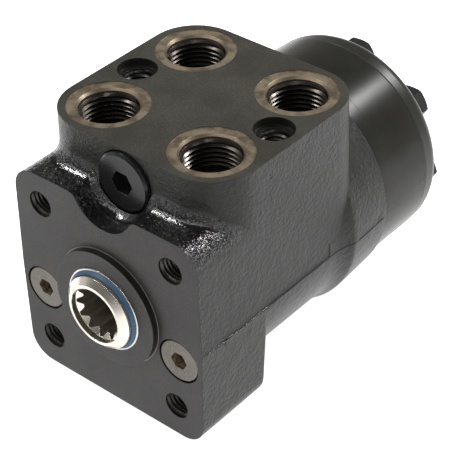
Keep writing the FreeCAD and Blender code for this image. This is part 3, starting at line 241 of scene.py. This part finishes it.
class Wiring:
    """Adds nodes to a tree and joins them. An input may be a number, a colour or another node's socket."""

    def __init__(self, tree):
        self.tree = tree

    def node(self, kind, inputs=None, **settings):
        made = self.tree.nodes.new(kind)
        for name, value in settings.items():
            setattr(made, name, value)
        for key, value in (inputs or {}).items():
            self.feed(made.inputs[key], value)
        return made

    def feed(self, socket, value):
        if isinstance(value, bpy.types.NodeSocket):
            self.tree.links.new(value, socket)
        elif socket.type == "RGBA" and len(value) == 3:
            socket.default_value = (*value, 1)
        else:
            socket.default_value = value

    def math(self, operation, *values, clamp=False):
        made = self.node("ShaderNodeMath", dict(enumerate(values)), operation=operation, use_clamp=clamp)
        return made.outputs[0]

    def vector(self, operation, *values):
        made = self.node("ShaderNodeVectorMath", dict(enumerate(values)), operation=operation)
        return made.outputs["Value" if operation in ("LENGTH", "DOT_PRODUCT") else "Vector"]

    def mix(self, share, first, second):
        made = self.node("ShaderNodeMix", data_type="RGBA")
        self.feed(made.inputs["Factor"], share)
        self.feed(made.inputs[6], first)
        self.feed(made.inputs[7], second)
        return made.outputs[2]

    def blend(self, share, first, second):
        """A number between two others."""
        made = self.node("ShaderNodeMix", data_type="FLOAT")
        for key, value in zip(("Factor", "A", "B"), (share, first, second)):
            self.feed(made.inputs[key], value)
        return made.outputs[0]

    def span(self, value, low, high, to_low=0.0, to_high=1.0, smooth=True):
        """Takes a range of one value to a range of another."""
        made = self.node("ShaderNodeMapRange", interpolation_type="SMOOTHSTEP" if smooth else "LINEAR")
        for key, number in zip(range(5), (value, low, high, to_low, to_high)):
            self.feed(made.inputs[key], number)
        return made.outputs[0]

    def noise(self, place, scale, detail=2.0, roughness=0.5, distortion=0.0):
        made = self.node("ShaderNodeTexNoise", {
            "Vector": place, "Scale": scale, "Detail": detail, "Roughness": roughness,
            "Distortion": distortion})
        return made.outputs["Fac"]

    def both(self, *masks):
        result = masks[0]
        for mask in masks[1:]:
            result = self.math("MULTIPLY", result, mask)
        return result

    def either(self, *masks):
        result = masks[0]
        for mask in masks[1:]:
            result = self.math("MAXIMUM", result, mask)
        return result

    def without(self, mask, other):
        return self.math("MULTIPLY", mask, self.math("SUBTRACT", 1.0, other))


def node_group(name, inputs, outputs):
    """A new shader group with its sockets, its wiring, and its two end nodes."""
    group = bpy.data.node_groups.new(name, "ShaderNodeTree")
    for socket, kind, default in inputs:
        made = group.interface.new_socket(socket, in_out="INPUT", socket_type=kind)
        if default is not None:
            made.default_value = default
    for socket, kind in outputs:
        group.interface.new_socket(socket, in_out="OUTPUT", socket_type=kind)
    wiring = Wiring(group)
    return group, wiring, wiring.node("NodeGroupInput").outputs, wiring.node("NodeGroupOutput").inputs


def cast_skin_group():
    """Pebbled sand-cast skin under paint: its height, small pits, slow changes of tone, and the
    way each grain of sand leans."""
    group, wires, given, result = node_group(
        "Cast skin",
        [("Vector", "NodeSocketVector", None), ("Grain", "NodeSocketFloat", 1.5 * MM),
         ("Depth", "NodeSocketFloat", 0.3 * MM)],
        [("Height", "NodeSocketFloat"), ("Pits", "NodeSocketFloat"), ("Tone", "NodeSocketFloat"),
         ("Tilt", "NodeSocketVector")])
    scale = wires.math("DIVIDE", 1.0, given["Grain"])
    coarse = wires.noise(given["Vector"], scale, 2.0, 0.5, 0.1)
    fine = wires.noise(given["Vector"], wires.math("MULTIPLY", scale, 2.4), 3.0, 0.6)
    wave = wires.noise(given["Vector"], wires.math("MULTIPLY", scale, 0.22), 1.0)
    pits = wires.node("ShaderNodeTexVoronoi", {
        "Vector": wires.vector("MULTIPLY", given["Vector"], (1.0, 0.55, 1.0)),
        "Scale": wires.math("MULTIPLY", scale, 0.15), "Randomness": 1.0})
    pit = wires.math("SUBTRACT", 1.0, wires.span(pits.outputs["Distance"], 0.03, 0.07))
    grains = wires.node("ShaderNodeTexVoronoi", {
        "Vector": given["Vector"], "Scale": wires.math("MULTIPLY", scale, 3.2), "Randomness": 1.0})
    height = wires.math("MULTIPLY_ADD", fine, 0.55, wires.math("MULTIPLY", coarse, 0.8))
    height = wires.math("MULTIPLY_ADD", wave, 0.6, height)
    height = wires.math("SUBTRACT", height, wires.math("MULTIPLY", pit, 1.2))
    wires.feed(result["Height"], wires.math("MULTIPLY", height, given["Depth"]))
    wires.feed(result["Pits"], pit)
    wires.feed(result["Tilt"], wires.vector("SUBTRACT", grains.outputs["Color"], (0.5, 0.5, 0.5)))
    wires.feed(result["Tone"], wires.span(wave, 0.3, 0.7))
    return group


def machined_group():
    """A milled or turned face under thin paint: orange peel, clouds of tone and light specks."""
    group, wires, given, result = node_group(
        "Machined face",
        [("Vector", "NodeSocketVector", None), ("Depth", "NodeSocketFloat", 0.006 * MM)],
        [("Height", "NodeSocketFloat"), ("Tone", "NodeSocketFloat"), ("Specks", "NodeSocketFloat")])
    peel = wires.noise(given["Vector"], 900.0, 2.0, 0.5)
    cloud = wires.noise(given["Vector"], 60.0, 3.0, 0.6)
    dust = wires.noise(given["Vector"], 1400.0, 3.0, 0.7)
    wires.feed(result["Height"], wires.math("MULTIPLY", peel, given["Depth"]))
    wires.feed(result["Tone"], cloud)
    wires.feed(result["Specks"], wires.span(dust, 0.42, 0.72))
    return group


def patch_group():
    """A round patch about an axis: one inside its radius, nought outside."""
    group, wires, given, result = node_group(
        "Round patch",
        [("Vector", "NodeSocketVector", None), ("Centre", "NodeSocketVector", None),
         ("Across", "NodeSocketVector", (1, 1, 0)), ("Radius", "NodeSocketFloat", 10 * MM),
         ("Softness", "NodeSocketFloat", 0.05 * MM)],
        [("Inside", "NodeSocketFloat"), ("Distance", "NodeSocketFloat")])
    offset = wires.vector("SUBTRACT", given["Vector"], given["Centre"])
    distance = wires.vector("LENGTH", wires.vector("MULTIPLY", offset, given["Across"]))
    edge = wires.math("SUBTRACT", given["Radius"], distance)
    inside = wires.math("DIVIDE", edge, given["Softness"], clamp=True)
    wires.feed(result["Inside"], inside)
    wires.feed(result["Distance"], distance)
    return group


def edge_group():
    """Soft edges: a normal that rounds sharp corners, and how near the surface is to one."""
    group, wires, given, result = node_group(
        "Soft edge", [("Radius", "NodeSocketFloat", 0.3 * MM)],
        [("Normal", "NodeSocketVector"), ("Edge", "NodeSocketFloat")])
    bevel = wires.node("ShaderNodeBevel", {"Radius": given["Radius"]}, samples=6)
    geometry = wires.node("ShaderNodeNewGeometry")
    alike = wires.vector("DOT_PRODUCT", bevel.outputs[0], geometry.outputs["Normal"])
    wires.feed(result["Normal"], bevel.outputs[0])
    wires.feed(result["Edge"], wires.span(alike, 0.995, 0.8))
    return group


GROUPS = {}


def group_named(name):
    makers = {"Cast skin": cast_skin_group, "Machined face": machined_group,
              "Round patch": patch_group, "Soft edge": edge_group}
    if name not in GROUPS:
        GROUPS[name] = makers[name]()
    return GROUPS[name]


class Finish:
    """A material being wired: its tree, the place on the piece, and its shader."""

    def __init__(self, name):
        self.material = bpy.data.materials.new(name)
        self.material.use_nodes = True
        self.wires = Wiring(self.material.node_tree)
        self.shader = self.material.node_tree.nodes["Principled BSDF"]
        self.place = self.wires.node("ShaderNodeTexCoord").outputs["Object"]

    def group(self, name, **inputs):
        made = self.wires.node("ShaderNodeGroup", node_tree=group_named(name))
        for key, value in inputs.items():
            self.wires.feed(made.inputs[key], value)
        return made.outputs

    def patch(self, centre, radius, along):
        across = {"Y": (1, 0, 1), "Z": (1, 1, 0)}[along]
        return self.group("Round patch", Vector=self.place, Centre=centre, Across=across,
                          Radius=radius)["Inside"]

    def above(self, axis, limit):
        """One where the surface lies beyond a limit along an axis."""
        parts = self.wires.node("ShaderNodeSeparateXYZ", {0: self.place})
        return self.wires.math("GREATER_THAN", parts.outputs[axis], limit)

    def bump(self, height, strength=1.0, normal=None):
        made = self.wires.node("ShaderNodeBump", {"Height": height, "Strength": strength, "Distance": 1.0})
        if normal is not None:
            self.wires.feed(made.inputs["Normal"], normal)
        return made.outputs[0]

    def set(self, **inputs):
        for key, value in inputs.items():
            self.wires.feed(self.shader.inputs[key.replace("_", " ")], value)
        return self.material


def dress(node, material):
    """Gives a CAD piece its finish."""
    piece = frame["nodes"][node]
    for spot in piece.material_slots:
        spot.link = "OBJECT"
        spot.material = material


def casting_masks(finish):
    """Where the housing is bare, sunk, machined or wet, and where painted highlight and painted shade go round
    the boss, each as a mask from nought to one.
    """
    wires = finish.wires
    near_top = finish.above("Z", PORT_FACE - PORT_REACH)
    under_ring = finish.above("Z", PORT_FACE - SPOT_FACE_DEPTH)
    port_holes = [finish.patch(Vector(port["pos_m"]), PORT_THREAD + 2 * MM, "Z") for port in PORTS]
    hole = wires.both(wires.without(near_top, under_ring), wires.either(*port_holes))
    mouth = wires.both(hole, finish.above("Z", PORT_FACE - MOUTH_DEPTH))

    counterbores = [finish.patch((side * HALF_BLOCK, MOUNTS["block_screws"]["pos_m"][1], 0),
                                 COUNTERBORE_RADIUS, "Z") for side in (-1, 1)]
    sunk = wires.both(near_top, wires.either(*counterbores))
    sunk = wires.without(sunk, finish.above("Z", PORT_FACE - 0.05 * MM))

    front_holes = [finish.patch((x * HALF_COLUMN, 0, z * HALF_COLUMN), SCREW_THREAD + 0.3 * MM, "Y")
                   for x in (-1, 1) for z in (-1, 1)]
    front_holes += [finish.patch(centre, PLUG_BORE_RADIUS, "Y") for centre in SHOCK_CENTRES]
    front_holes.append(finish.patch((0, 0, 0), SEAL_BORE_RADIUS, "Y"))
    deep = wires.both(wires.either(*front_holes), finish.above("Y", 0.05 * MM))
    deep = wires.without(deep, finish.above("Y", FRONT_REACH))
    bore = wires.either(hole, deep, sunk)

    ring = wires.either(*[finish.patch(Vector(port["pos_m"]), SPOT_FACE_RADIUS, "Z") for port in PORTS])
    ring = wires.both(ring, under_ring)
    ring = wires.without(ring, finish.above("Z", PORT_FACE - 0.1 * MM))
    front = wires.math("SUBTRACT", 1.0, finish.above("Y", 0.02 * MM))
    top = finish.above("Z", PORT_FACE - 0.02 * MM)
    # The boss's side wall, which gets the darker cast paint as painted shade
    step = wires.without(front, finish.patch((0, 0, 0), BOSS_RADIUS - 0.03 * MM, "Y"))
    step = wires.without(step, finish.above("Y", -0.02 * MM))
    # A thin ring on the front face just outside the boss, for the painted highlight at its foot
    foot = wires.without(finish.patch((0, 0, 0), BOSS_RADIUS + 0.45 * MM, "Y"),
                         finish.patch((0, 0, 0), BOSS_RADIUS + 0.15 * MM, "Y"))
    return SimpleNamespace(mouth=mouth, sunk=sunk, bore=bore, ring=ring, top=top, step=step,
                           foot=wires.both(front, foot), face=wires.either(front, top, ring, bore))


def casting_finish(paint):
    """One finish for the housing: cast skin, painted faces, stained rings at the ports, oiled bores, with
    painted shade in the pits, on the up-facing wet skin, in the counterbores and on the boss's side wall,
    painted light on the port face, and a painted highlight round the boss's foot.
    """
    finish = Finish("casting")
    wires = finish.wires
    masks = casting_masks(finish)
    facing = wires.node("ShaderNodeSeparateXYZ", {0: wires.node("ShaderNodeTexCoord").outputs["Normal"]})
    wet = wires.without(wires.span(facing.outputs["Z"], 0.05, 0.55), finish.above("Y", SHELF_END))
    pooled = wires.both(wires.span(facing.outputs["Z"], 0.55, 0.85),
                        wires.span(facing.outputs["Y"], -0.12, -0.3))
    depth = wires.blend(wet, paint.grain_depth, wires.blend(pooled, paint.grain_depth * 0.7,
                                                            paint.grain_depth * 0.25))
    skin = finish.group("Cast skin", Vector=finish.place, Grain=paint.grain_size, Depth=depth)
    plain = finish.group("Machined face", Vector=finish.place)
    edges = finish.group("Soft edge", Radius=0.35 * MM)

    cast = wires.mix(skin["Tone"], paint.cast_colour, [c * 1.25 for c in paint.cast_colour])
    # Painted shade: the pits of the cast skin are darkened
    cast = wires.mix(skin["Pits"], cast, paint.pit_shade_colour)
    # Painted shade: up-facing cast skin near the front turns a darker black, over its thick glossy paint
    cast = wires.mix(wet, cast, paint.wet_shade_colour)
    # The port face takes its own olive paint, lighter than the front faces' as painted light
    faces = wires.mix(masks.top, paint.face_colour, paint.port_paint_and_light_colour)
    faces = wires.mix(wires.span(plain["Tone"], 0.3, 0.7), faces,
                      wires.vector("MULTIPLY", faces, (0.72, 0.7, 0.7)))
    faces = wires.mix(plain["Specks"], faces, wires.vector("MULTIPLY", faces, (1.9, 1.85, 1.8)))
    # Painted highlight: a light ring round the foot of the boss
    faces = wires.mix(masks.foot, faces, paint.boss_foot_highlight_colour)
    # Painted shade: the boss's side wall takes the darker cast paint
    faces = wires.mix(masks.step, faces, paint.cast_colour)
    stain = wires.span(wires.noise(finish.place, 170.0, 3.0, 0.65), 0.38, 0.68)
    colour = wires.mix(masks.face, cast, faces)
    colour = wires.mix(masks.ring, colour, wires.mix(stain, paint.ring_colour, paint.stain_colour))
    colour = wires.mix(masks.bore, colour, paint.bore_colour)
    colour = wires.mix(masks.mouth, colour, paint.mouth_colour)
    # Painted shade: the counterbores of the block screws are painted black
    colour = wires.mix(masks.sunk, colour, paint.sunk_shade_colour)

    rough = wires.blend(masks.face, wires.blend(wet, 0.32, wires.blend(pooled, 0.14, 0.1)), 0.42)
    rough = wires.blend(masks.step, rough, 0.3)
    rough = wires.blend(wires.either(masks.ring, masks.bore), rough, 0.38)
    height = wires.blend(masks.face, skin["Height"], plain["Height"])
    normal = finish.bump(height, 1.0, edges["Normal"])
    glitter = wires.without(wires.both(wet, wires.blend(pooled, 0.38, 0.12)), masks.face)
    lean = wires.vector("SCALE", skin["Tilt"])
    wires.feed(lean.node.inputs["Scale"], glitter)
    normal = wires.vector("NORMALIZE", wires.vector("ADD", normal, lean))
    metal = wires.either(wires.math("MULTIPLY", masks.ring, 0.5), wires.math("MULTIPLY", masks.bore, 0.8))
    return finish.set(Base_Color=colour, Roughness=rough, Normal=normal,
                      Metallic=wires.without(metal, masks.sunk),
                      IOR=wires.blend(wires.without(wet, masks.face), 1.32, 1.65))


def gloss_finish(name, colour, roughness, edge=0.25 * MM, ior=1.3, edge_joint_and_highlight=1.0):
    """Smooth paint over turned steel. Its edges are tinted by a factor: below one darker as joint lines, above
    one lighter as a painted highlight.
    """
    finish = Finish(name)
    plain = finish.group("Machined face", Vector=finish.place, Depth=0.004 * MM)
    edges = finish.group("Soft edge", Radius=edge)
    tone = finish.wires.span(plain["Tone"], 0.3, 0.7)
    shade = finish.wires.mix(tone, colour, [c * 1.3 for c in colour])
    # Edges tinted by the factor: darker as joint lines, lighter as a painted highlight
    shade = finish.wires.mix(edges["Edge"], shade, [c * edge_joint_and_highlight for c in colour])
    return finish.set(Base_Color=shade, Roughness=roughness, IOR=ior,
                      Normal=finish.bump(plain["Height"], 1.0, edges["Normal"]))


def steel_finish(name, colour, roughness, edge=0.15 * MM):
    """Bare turned or ground steel, with a little stain."""
    finish = Finish(name)
    plain = finish.group("Machined face", Vector=finish.place, Depth=0.002 * MM)
    edges = finish.group("Soft edge", Radius=edge)
    tone = finish.wires.span(plain["Tone"], 0.35, 0.7)
    shade = finish.wires.mix(tone, colour, [c * 0.75 for c in colour])
    rough = finish.wires.span(plain["Tone"], 0.3, 0.7, roughness * 0.8, roughness * 1.25)
    return finish.set(Base_Color=shade, Metallic=1.0, Roughness=rough,
                      Normal=finish.bump(plain["Height"], 1.0, edges["Normal"]))


def zinc_finish(name, colour, light_rust, dark_rust):
    """Dull zinc plate on the shock plugs, with rust in their sockets."""
    finish = Finish(name)
    wires = finish.wires
    plain = finish.group("Machined face", Vector=finish.place, Depth=0.004 * MM)
    edges = finish.group("Soft edge", Radius=0.2 * MM)
    socket = wires.either(*[finish.patch(centre, 3.6 * MM, "Y") for centre in SHOCK_CENTRES])
    socket = wires.both(socket, finish.above("Y", 0.4 * MM))
    shade = wires.mix(wires.span(plain["Tone"], 0.35, 0.7), colour, [c * 0.7 for c in colour])
    shade = wires.mix(plain["Specks"], shade, [c * 1.3 for c in colour])
    rust = wires.mix(wires.span(wires.noise(finish.place, 900.0, 3.0), 0.4, 0.6), light_rust, dark_rust)
    return finish.set(Base_Color=wires.mix(socket, shade, rust), Roughness=wires.blend(socket, 0.4, 0.55),
                      Metallic=wires.math("SUBTRACT", 1.0, socket),
                      Normal=finish.bump(plain["Height"], 1.0, edges["Normal"]))


def rubber_finish(name, colour):
    finish = Finish(name)
    plain = finish.group("Machined face", Vector=finish.place, Depth=0.01 * MM)
    tone = finish.wires.span(plain["Tone"], 0.3, 0.7)
    shade = finish.wires.mix(tone, colour, [c * 1.4 for c in colour])
    return finish.set(Base_Color=shade, Roughness=0.5, Normal=finish.bump(plain["Height"]))


class STEERING_OT_paint(bpy.types.Operator):
    """Give every CAD piece its finish"""
    bl_idname = "steering.paint"
    bl_label = "Paint and finishes"

    def execute(self, context):
        colours = context.scene.steering_finishes
        finishes = {
            "casting_paint": casting_finish(context.scene.steering_paint),
            "band_paint": gloss_finish("band_gloss", colours.band, 0.25, ior=1.22, edge_joint_and_highlight=0.6),
            # The cover's edges are made lighter: a painted highlight along them
            "cover_paint": gloss_finish("cover_paint", colours.cover, 0.3, edge=0.4 * MM, ior=1.33, edge_joint_and_highlight=2.5),
            "screw_paint": gloss_finish("screw_paint", colours.screws, 0.35),
            "plug_black": gloss_finish("plug_black", colours.relief_plug, 0.22, ior=1.35),
            "plug_zinc": zinc_finish("zinc_plate", colours.zinc, colours.light_rust, colours.dark_rust),
            "seal_metal": steel_finish("seal_case", colours.seal_case, 0.25),
            "spool_steel": steel_finish("lapped_steel", colours.lapped, 0.26),
            "ground_steel": steel_finish("ground_steel", colours.ground, 0.28),
            "forged_steel": steel_finish("forged_steel", colours.forged, 0.45),
            "spring_steel": steel_finish("spring_steel", colours.springs, 0.35),
            "blue_rubber": rubber_finish("blue_rubber", colours.blue_rubber),
            "black_rubber": rubber_finish("black_rubber", colours.black_rubber),
        }
        for part in frame["record"]["subparts"]:
            dress(part["node"], finishes[part["material_slot"]])
        return {"FINISHED"}


def thread_mesh(name, major, depth, pitch, length, steps):
    """A helical ridge on the inside of a hole, down from its mouth at z = 0."""
    mesh = bmesh.new()
    flat = pitch / 8
    corners = [(major, -pitch * 0.02), (major, -pitch * 0.98), (major - depth, -(pitch + flat) / 2),
               (major - depth, -(pitch - flat) / 2)]
    points = [mesh.verts.new((radius, 0, z)) for radius, z in corners]
    loop = [mesh.edges.new((points[i], points[(i + 1) % 4])) for i in range(4)]
    turns = int(length / pitch) - 1
    count = turns * steps
    bmesh.ops.spin(mesh, geom=[*points, *loop], cent=(0, 0, 0), axis=(0, 0, 1),
                   dvec=(0, 0, -pitch / steps), angle=2 * math.pi * turns, steps=count, use_merge=False,
                   use_duplicate=False)
    bmesh.ops.holes_fill(mesh, edges=[edge for edge in mesh.edges if edge.is_boundary], sides=0)
    for point in mesh.verts:
        radius = math.hypot(point.co.x, point.co.y)
        inward = major - radius
        near_mouth = max(0.0, min(1.0, (-point.co.z - pitch * 0.3) / pitch))
        scale = (major - inward * near_mouth) / radius
        point.co.x *= scale
        point.co.y *= scale
    bmesh.ops.recalc_face_normals(mesh, faces=mesh.faces)
    return finished(mesh, name)


def finished(mesh, name, smooth_angle=35):
    """Turns a bmesh into an object of the scene."""
    data = bpy.data.meshes.new(name)
    mesh.to_mesh(data)
    mesh.free()
    piece = bpy.data.objects.new(name, data)
    bpy.context.scene.collection.objects.link(piece)
    for face in data.polygons:
        face.use_smooth = True
    data.set_sharp_from_angle(angle=math.radians(smooth_angle))
    return piece


def set_in(piece, material, spot, axis):
    """Turns a thread from +Z to its hole's own axis, and moves it to the mouth."""
    piece.data.materials.append(material)
    turn = Vector((0, 0, 1)).rotation_difference(Vector(axis)).to_matrix().to_4x4()
    piece.data.transform(Matrix.Translation(spot) @ turn)
    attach(piece, "housing")


class STEERING_OT_threads(bpy.types.Operator):
    """Cut the threads of the ports and the screw holes"""
    bl_idname = "steering.threads"
    bl_label = "Threads"

    def execute(self, context):
        sizes = context.scene.steering_threads
        colours = context.scene.steering_finishes
        oiled = steel_finish("oiled_thread", colours.port_thread, 0.3, edge=0.1 * MM)
        black = steel_finish("black_thread", colours.screw_thread, 0.34, edge=0.1 * MM)
        for name, mount in MOUNTS.items():
            if mount in PORTS:
                reach = mount["dims"]["length_mm"] * MM
                spot = Vector(mount["pos_m"]) + Vector(mount["axis"]) * reach / 2
                thread = thread_mesh(f"{name}_thread", PORT_THREAD + 0.02 * MM, sizes.port_depth,
                                     sizes.port_pitch, reach, sizes.steps)
                set_in(thread, oiled, spot, mount["axis"])
        for side, label in ((-1, "left"), (1, "right")):
            spot = Vector(MOUNTS["block_screws"]["pos_m"]) + Vector((side * HALF_BLOCK, 0, 0))
            thread = thread_mesh(f"{label}_block_screw_thread", SCREW_THREAD + 0.02 * MM, sizes.screw_depth,
                                 sizes.screw_pitch, sizes.block_reach, sizes.steps)
            set_in(thread, black, spot, (0, 0, 1))
            for level, up in (("lower", -1), ("upper", 1)):
                thread = thread_mesh(f"{label}_{level}_column_thread", SCREW_THREAD + 0.02 * MM,
                                     sizes.screw_depth, sizes.screw_pitch, sizes.column_reach, sizes.steps)
                set_in(thread, black, (side * HALF_COLUMN, 0, up * HALF_COLUMN), (0, -1, 0))
        return {"FINISHED"}


class STEERING_OT_flash(bpy.types.Operator):
    """Lay the casting flash along both sides of the housing"""
    bl_idname = "steering.flash"
    bl_label = "Parting line flash"

    def execute(self, context):
        sizes = context.scene.steering_flash
        housing = frame["nodes"]["housing"]
        tree = BVHTree.FromObject(housing, context.evaluated_depsgraph_get())
        inverse = housing.matrix_world.inverted()
        for name, side in (("left_flash", -1), ("right_flash", 1)):
            path = []
            along = 0.4 * MM
            while along < REAR_JOINT - 1.0 * MM:
                start = inverse @ Vector((side * 0.1, along, sizes.parting))
                hit = tree.ray_cast(start, inverse.to_3x3() @ Vector((-side, 0, 0)))[0]
                if hit is not None:
                    path.append(housing.matrix_world @ hit)
                along += sizes.step
            flash = flash_mesh(name, path, side, sizes)
            flash.data.materials.append(housing.material_slots[0].material)
            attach(flash, "housing")
        return {"FINISHED"}


def flash_mesh(name, path, side, sizes):
    """A low ridge along a path, uneven as cast iron flash is after a quick grind."""
    mesh = bmesh.new()
    rings = []
    for i, point in enumerate(path):
        wander = noise.noise(Vector((side * 7, i * 0.11, 0)))
        rough = noise.noise(Vector((side * 3, i * 0.45, 9)))
        fade = min(1.0, i / 4, (len(path) - 1 - i) / 4)
        height = sizes.height * max(0.15, 0.75 + 0.5 * wander + 0.35 * rough) * fade
        width = sizes.width * (0.5 + 0.15 * wander)
        lift = wander * 0.12 * MM
        limit = abs(CAD_BOX[1].x)
        outline = [(-0.3 * MM, -width), (height * 0.45, -width * 0.5), (height, -width * 0.12),
                   (height, width * 0.12), (height * 0.45, width * 0.5), (-0.3 * MM, width)]
        ring = []
        for out, up in outline:
            reach = min(abs(point.x) + out, limit)
            ring.append(mesh.verts.new((side * reach, point.y, point.z + lift + up)))
        rings.append(ring)
    return finished(tube_between(mesh, rings), name, smooth_angle=60)


def tube_between(mesh, rings):
    """Joins rings of points into a closed tube."""
    count = len(rings[0])
    for ring, following in zip(rings, rings[1:]):
        for k in range(count):
            mesh.faces.new((ring[k], ring[(k + 1) % count], following[(k + 1) % count], following[k]))
    mesh.faces.new(rings[0])
    mesh.faces.new(list(reversed(rings[-1])))
    bmesh.ops.recalc_face_normals(mesh, faces=mesh.faces)
    return mesh


class STEERING_OT_flanks(bpy.types.Operator):
    """Fill both side walls between the flange and the block's corners, flush as on the casting"""
    bl_idname = "steering.flanks"
    bl_label = "Side walls"

    def execute(self, context):
        for name, side in (("left_flank", -1), ("right_flank", 1)):
            flank = flank_mesh(name, side, context.scene.steering_flanks)
            flank.data.materials.append(frame["nodes"]["housing"].material_slots[0].material)
            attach(flank, "housing")
        return {"FINISHED"}


def flank_outline(sizes, along, off, cove):
    """The flange's outline from the parting line up and over its corner, as places across and up."""
    lean = math.tan(sizes.draft)
    centre_z = sizes.top - sizes.corner
    centre_x = (sizes.half_width - (centre_z - sizes.parting) * lean) - sizes.corner / math.cos(sizes.draft)
    last_angle = math.acos((sizes.inner - centre_x) / sizes.corner)
    foot = sizes.parting - 0.1 * MM
    shoulder = centre_z + sizes.corner * math.sin(sizes.draft)
    past_corner = min(0.0, along - sizes.block_front - sizes.block_corner)
    outline = [(sizes.inner, foot)]
    for k in range(FLANK_WALL_STEPS):
        height = foot + (shoulder - foot) * k / FLANK_WALL_STEPS
        outline.append((sizes.half_width - (height - sizes.parting) * lean + off, height))
    for k in range(FLANK_CORNER_STEPS + 1):
        angle = sizes.draft + (last_angle - sizes.draft) * k / FLANK_CORNER_STEPS
        across = centre_x + (sizes.corner + off) * math.cos(angle)
        height = centre_z + (sizes.corner + off) * math.sin(angle)
        block_x = sizes.half_width - (height - sizes.parting) * lean - sizes.block_corner
        gap = max(0.0, math.hypot(across - block_x, past_corner) - sizes.block_corner)
        if gap < cove:
            height += min(1.0, k / FLANK_COVE_STEPS) * (cove - math.sqrt(cove ** 2 - (cove - gap) ** 2))
        outline.append((across, height))
    return outline


def flank_mesh(name, side, sizes):
    """The flange's own outline, drawn on along the shaft until it runs into the block's side wall."""
    start = sizes.block_front
    tangent = start + sizes.block_corner
    end = tangent + sizes.feather
    steps = round((end - start) / FLANK_STEP)
    mesh = bmesh.new()
    rings = []
    for i in range(steps + 1):
        along = start + (end - start) * i / steps
        ends = min(along - start, end - along) / sizes.feather
        off = sizes.proud * (4 * min(1.0, ends) - 3)
        share = max(0.0, min(1.0, (along - start) / sizes.block_corner))
        cove = sizes.cove + (sizes.cove_end - sizes.cove) * share
        rings.append([mesh.verts.new((side * across, along, height))
                      for across, height in flank_outline(sizes, along, off, cove)])
    return finished(tube_between(mesh, rings), name)


class STEERING_OT_studio(bpy.types.Operator):
    """Set up the white table, the soft lights and the camera"""
    bl_idname = "steering.studio"
    bl_label = "Studio"

    def execute(self, context):
        sizes = context.scene.steering_studio
        white_table(sizes)
        dim_room(context.scene, sizes)
        for name, direction, distance, size, power, share in LAMPS:
            soft_box(name, direction, distance, size, getattr(sizes, power) * share)
        photographers_camera(context.scene, sizes)
        context.scene.view_settings.view_transform = "Standard"
        return {"FINISHED"}


def white_table(sizes):
    mesh = bmesh.new()
    bmesh.ops.create_grid(mesh, x_segments=8, y_segments=8, size=sizes.table_half)
    floor = finished(mesh, "white_table")
    floor.data.transform(Matrix.Translation((0, 0, CAD_BOX[0][2] - 0.05 * MM)))
    finish = Finish("white_table")
    wires = finish.wires
    tone = wires.noise(finish.place, 3.0)
    white = wires.mix(tone, (0.8, 0.8, 0.8), (0.82, 0.82, 0.82))
    distance = wires.vector("LENGTH", finish.place)
    glow = wires.span(distance, 0.25, sizes.table_half, sizes.floor_glow, sizes.far_glow)
    floor.data.materials.append(finish.set(Base_Color=white, Roughness=0.9, Specular_IOR_Level=0.0,
                                           Emission_Color=(1, 1, 1), Emission_Strength=glow))


def dim_room(scene, sizes):
    world = bpy.data.worlds.new("dim_room")
    scene.world = world
    world.use_nodes = True
    wires = Wiring(world.node_tree)
    heading = wires.node("ShaderNodeTexCoord").outputs["Generated"]
    height = wires.node("ShaderNodeSeparateXYZ", {0: heading}).outputs["Z"]
    background = world.node_tree.nodes["Background"]
    wires.feed(background.inputs["Color"], (1.0, 0.99, 0.97))
    wires.feed(background.inputs["Strength"], wires.span(height, 0.1, 0.5, sizes.wall_glow, sizes.sky_glow))


def soft_box(name, direction, distance, size, power):
    """A soft box that looks at the unit from a direction."""
    light = bpy.data.lights.new(name, "AREA")
    light.shape = "RECTANGLE"
    light.size, light.size_y = size
    light.energy = power
    aim = Vector((0, 60 * MM, 0))
    heading = Vector(direction).normalized()
    lamp = bpy.data.objects.new(name, light)
    lamp.matrix_world = (Matrix.Translation(aim + heading * distance)
                         @ heading.to_track_quat("Z", "Y").to_matrix().to_4x4())
    bpy.context.scene.collection.objects.link(lamp)


def photographers_camera(scene, sizes):
    """The photograph's viewpoint, found by fitting the unit's known edges to it."""
    turn, rise, roll = sizes.camera_azimuth, sizes.camera_elevation, sizes.camera_roll
    back = Vector((math.sin(turn) * math.cos(rise), -math.cos(turn) * math.cos(rise), math.sin(rise)))
    right = Vector((math.cos(turn), math.sin(turn), 0))
    up = back.cross(right)
    level_right = right * math.cos(roll) + up * math.sin(roll)
    level_up = -right * math.sin(roll) + up * math.cos(roll)
    camera = bpy.data.cameras.new("photo_camera")
    camera.lens = sizes.camera_lens
    camera.sensor_width = 36
    camera.clip_start = 0.01
    body = bpy.data.objects.new("photo_camera", camera)
    turned = Matrix((level_right, level_up, back)).transposed().to_4x4()
    body.matrix_world = Matrix.Translation(sizes.camera_place) @ turned
    scene.collection.objects.link(body)
    scene.camera = body


class STEERING_PT_panel(bpy.types.Panel):
    """Lists the steps that dress the unit"""
    bl_label = "Steering unit"
    bl_idname = "STEERING_PT_panel"
    bl_space_type = "VIEW_3D"
    bl_region_type = "UI"
    bl_category = "Steering unit"

    def draw(self, context):
        for step in STEPS:
            self.layout.operator(step.bl_idname)


SETTINGS = {"steering_paint": PaintSizes, "steering_finishes": FinishSizes,
            "steering_threads": ThreadSizes, "steering_flash": FlashSizes,
            "steering_flanks": FlankSizes, "steering_studio": StudioSizes}
STEPS = (STEERING_OT_paint, STEERING_OT_threads, STEERING_OT_flash, STEERING_OT_flanks,
         STEERING_OT_studio)


def register():
    for kind in (*SETTINGS.values(), *STEPS, STEERING_PT_panel):
        bpy.utils.register_class(kind)
    for name, kind in SETTINGS.items():
        setattr(bpy.types.Scene, name, PointerProperty(type=kind))


def unregister():
    for name in SETTINGS:
        delattr(bpy.types.Scene, name)
    for kind in reversed((*SETTINGS.values(), *STEPS, STEERING_PT_panel)):
        bpy.utils.unregister_class(kind)


def main():
    register()
    bpy.ops.steering.paint()
    bpy.ops.steering.threads()
    bpy.ops.steering.flash()
    bpy.ops.steering.flanks()
    bpy.ops.steering.studio()


if __name__ == "__main__":
    main()
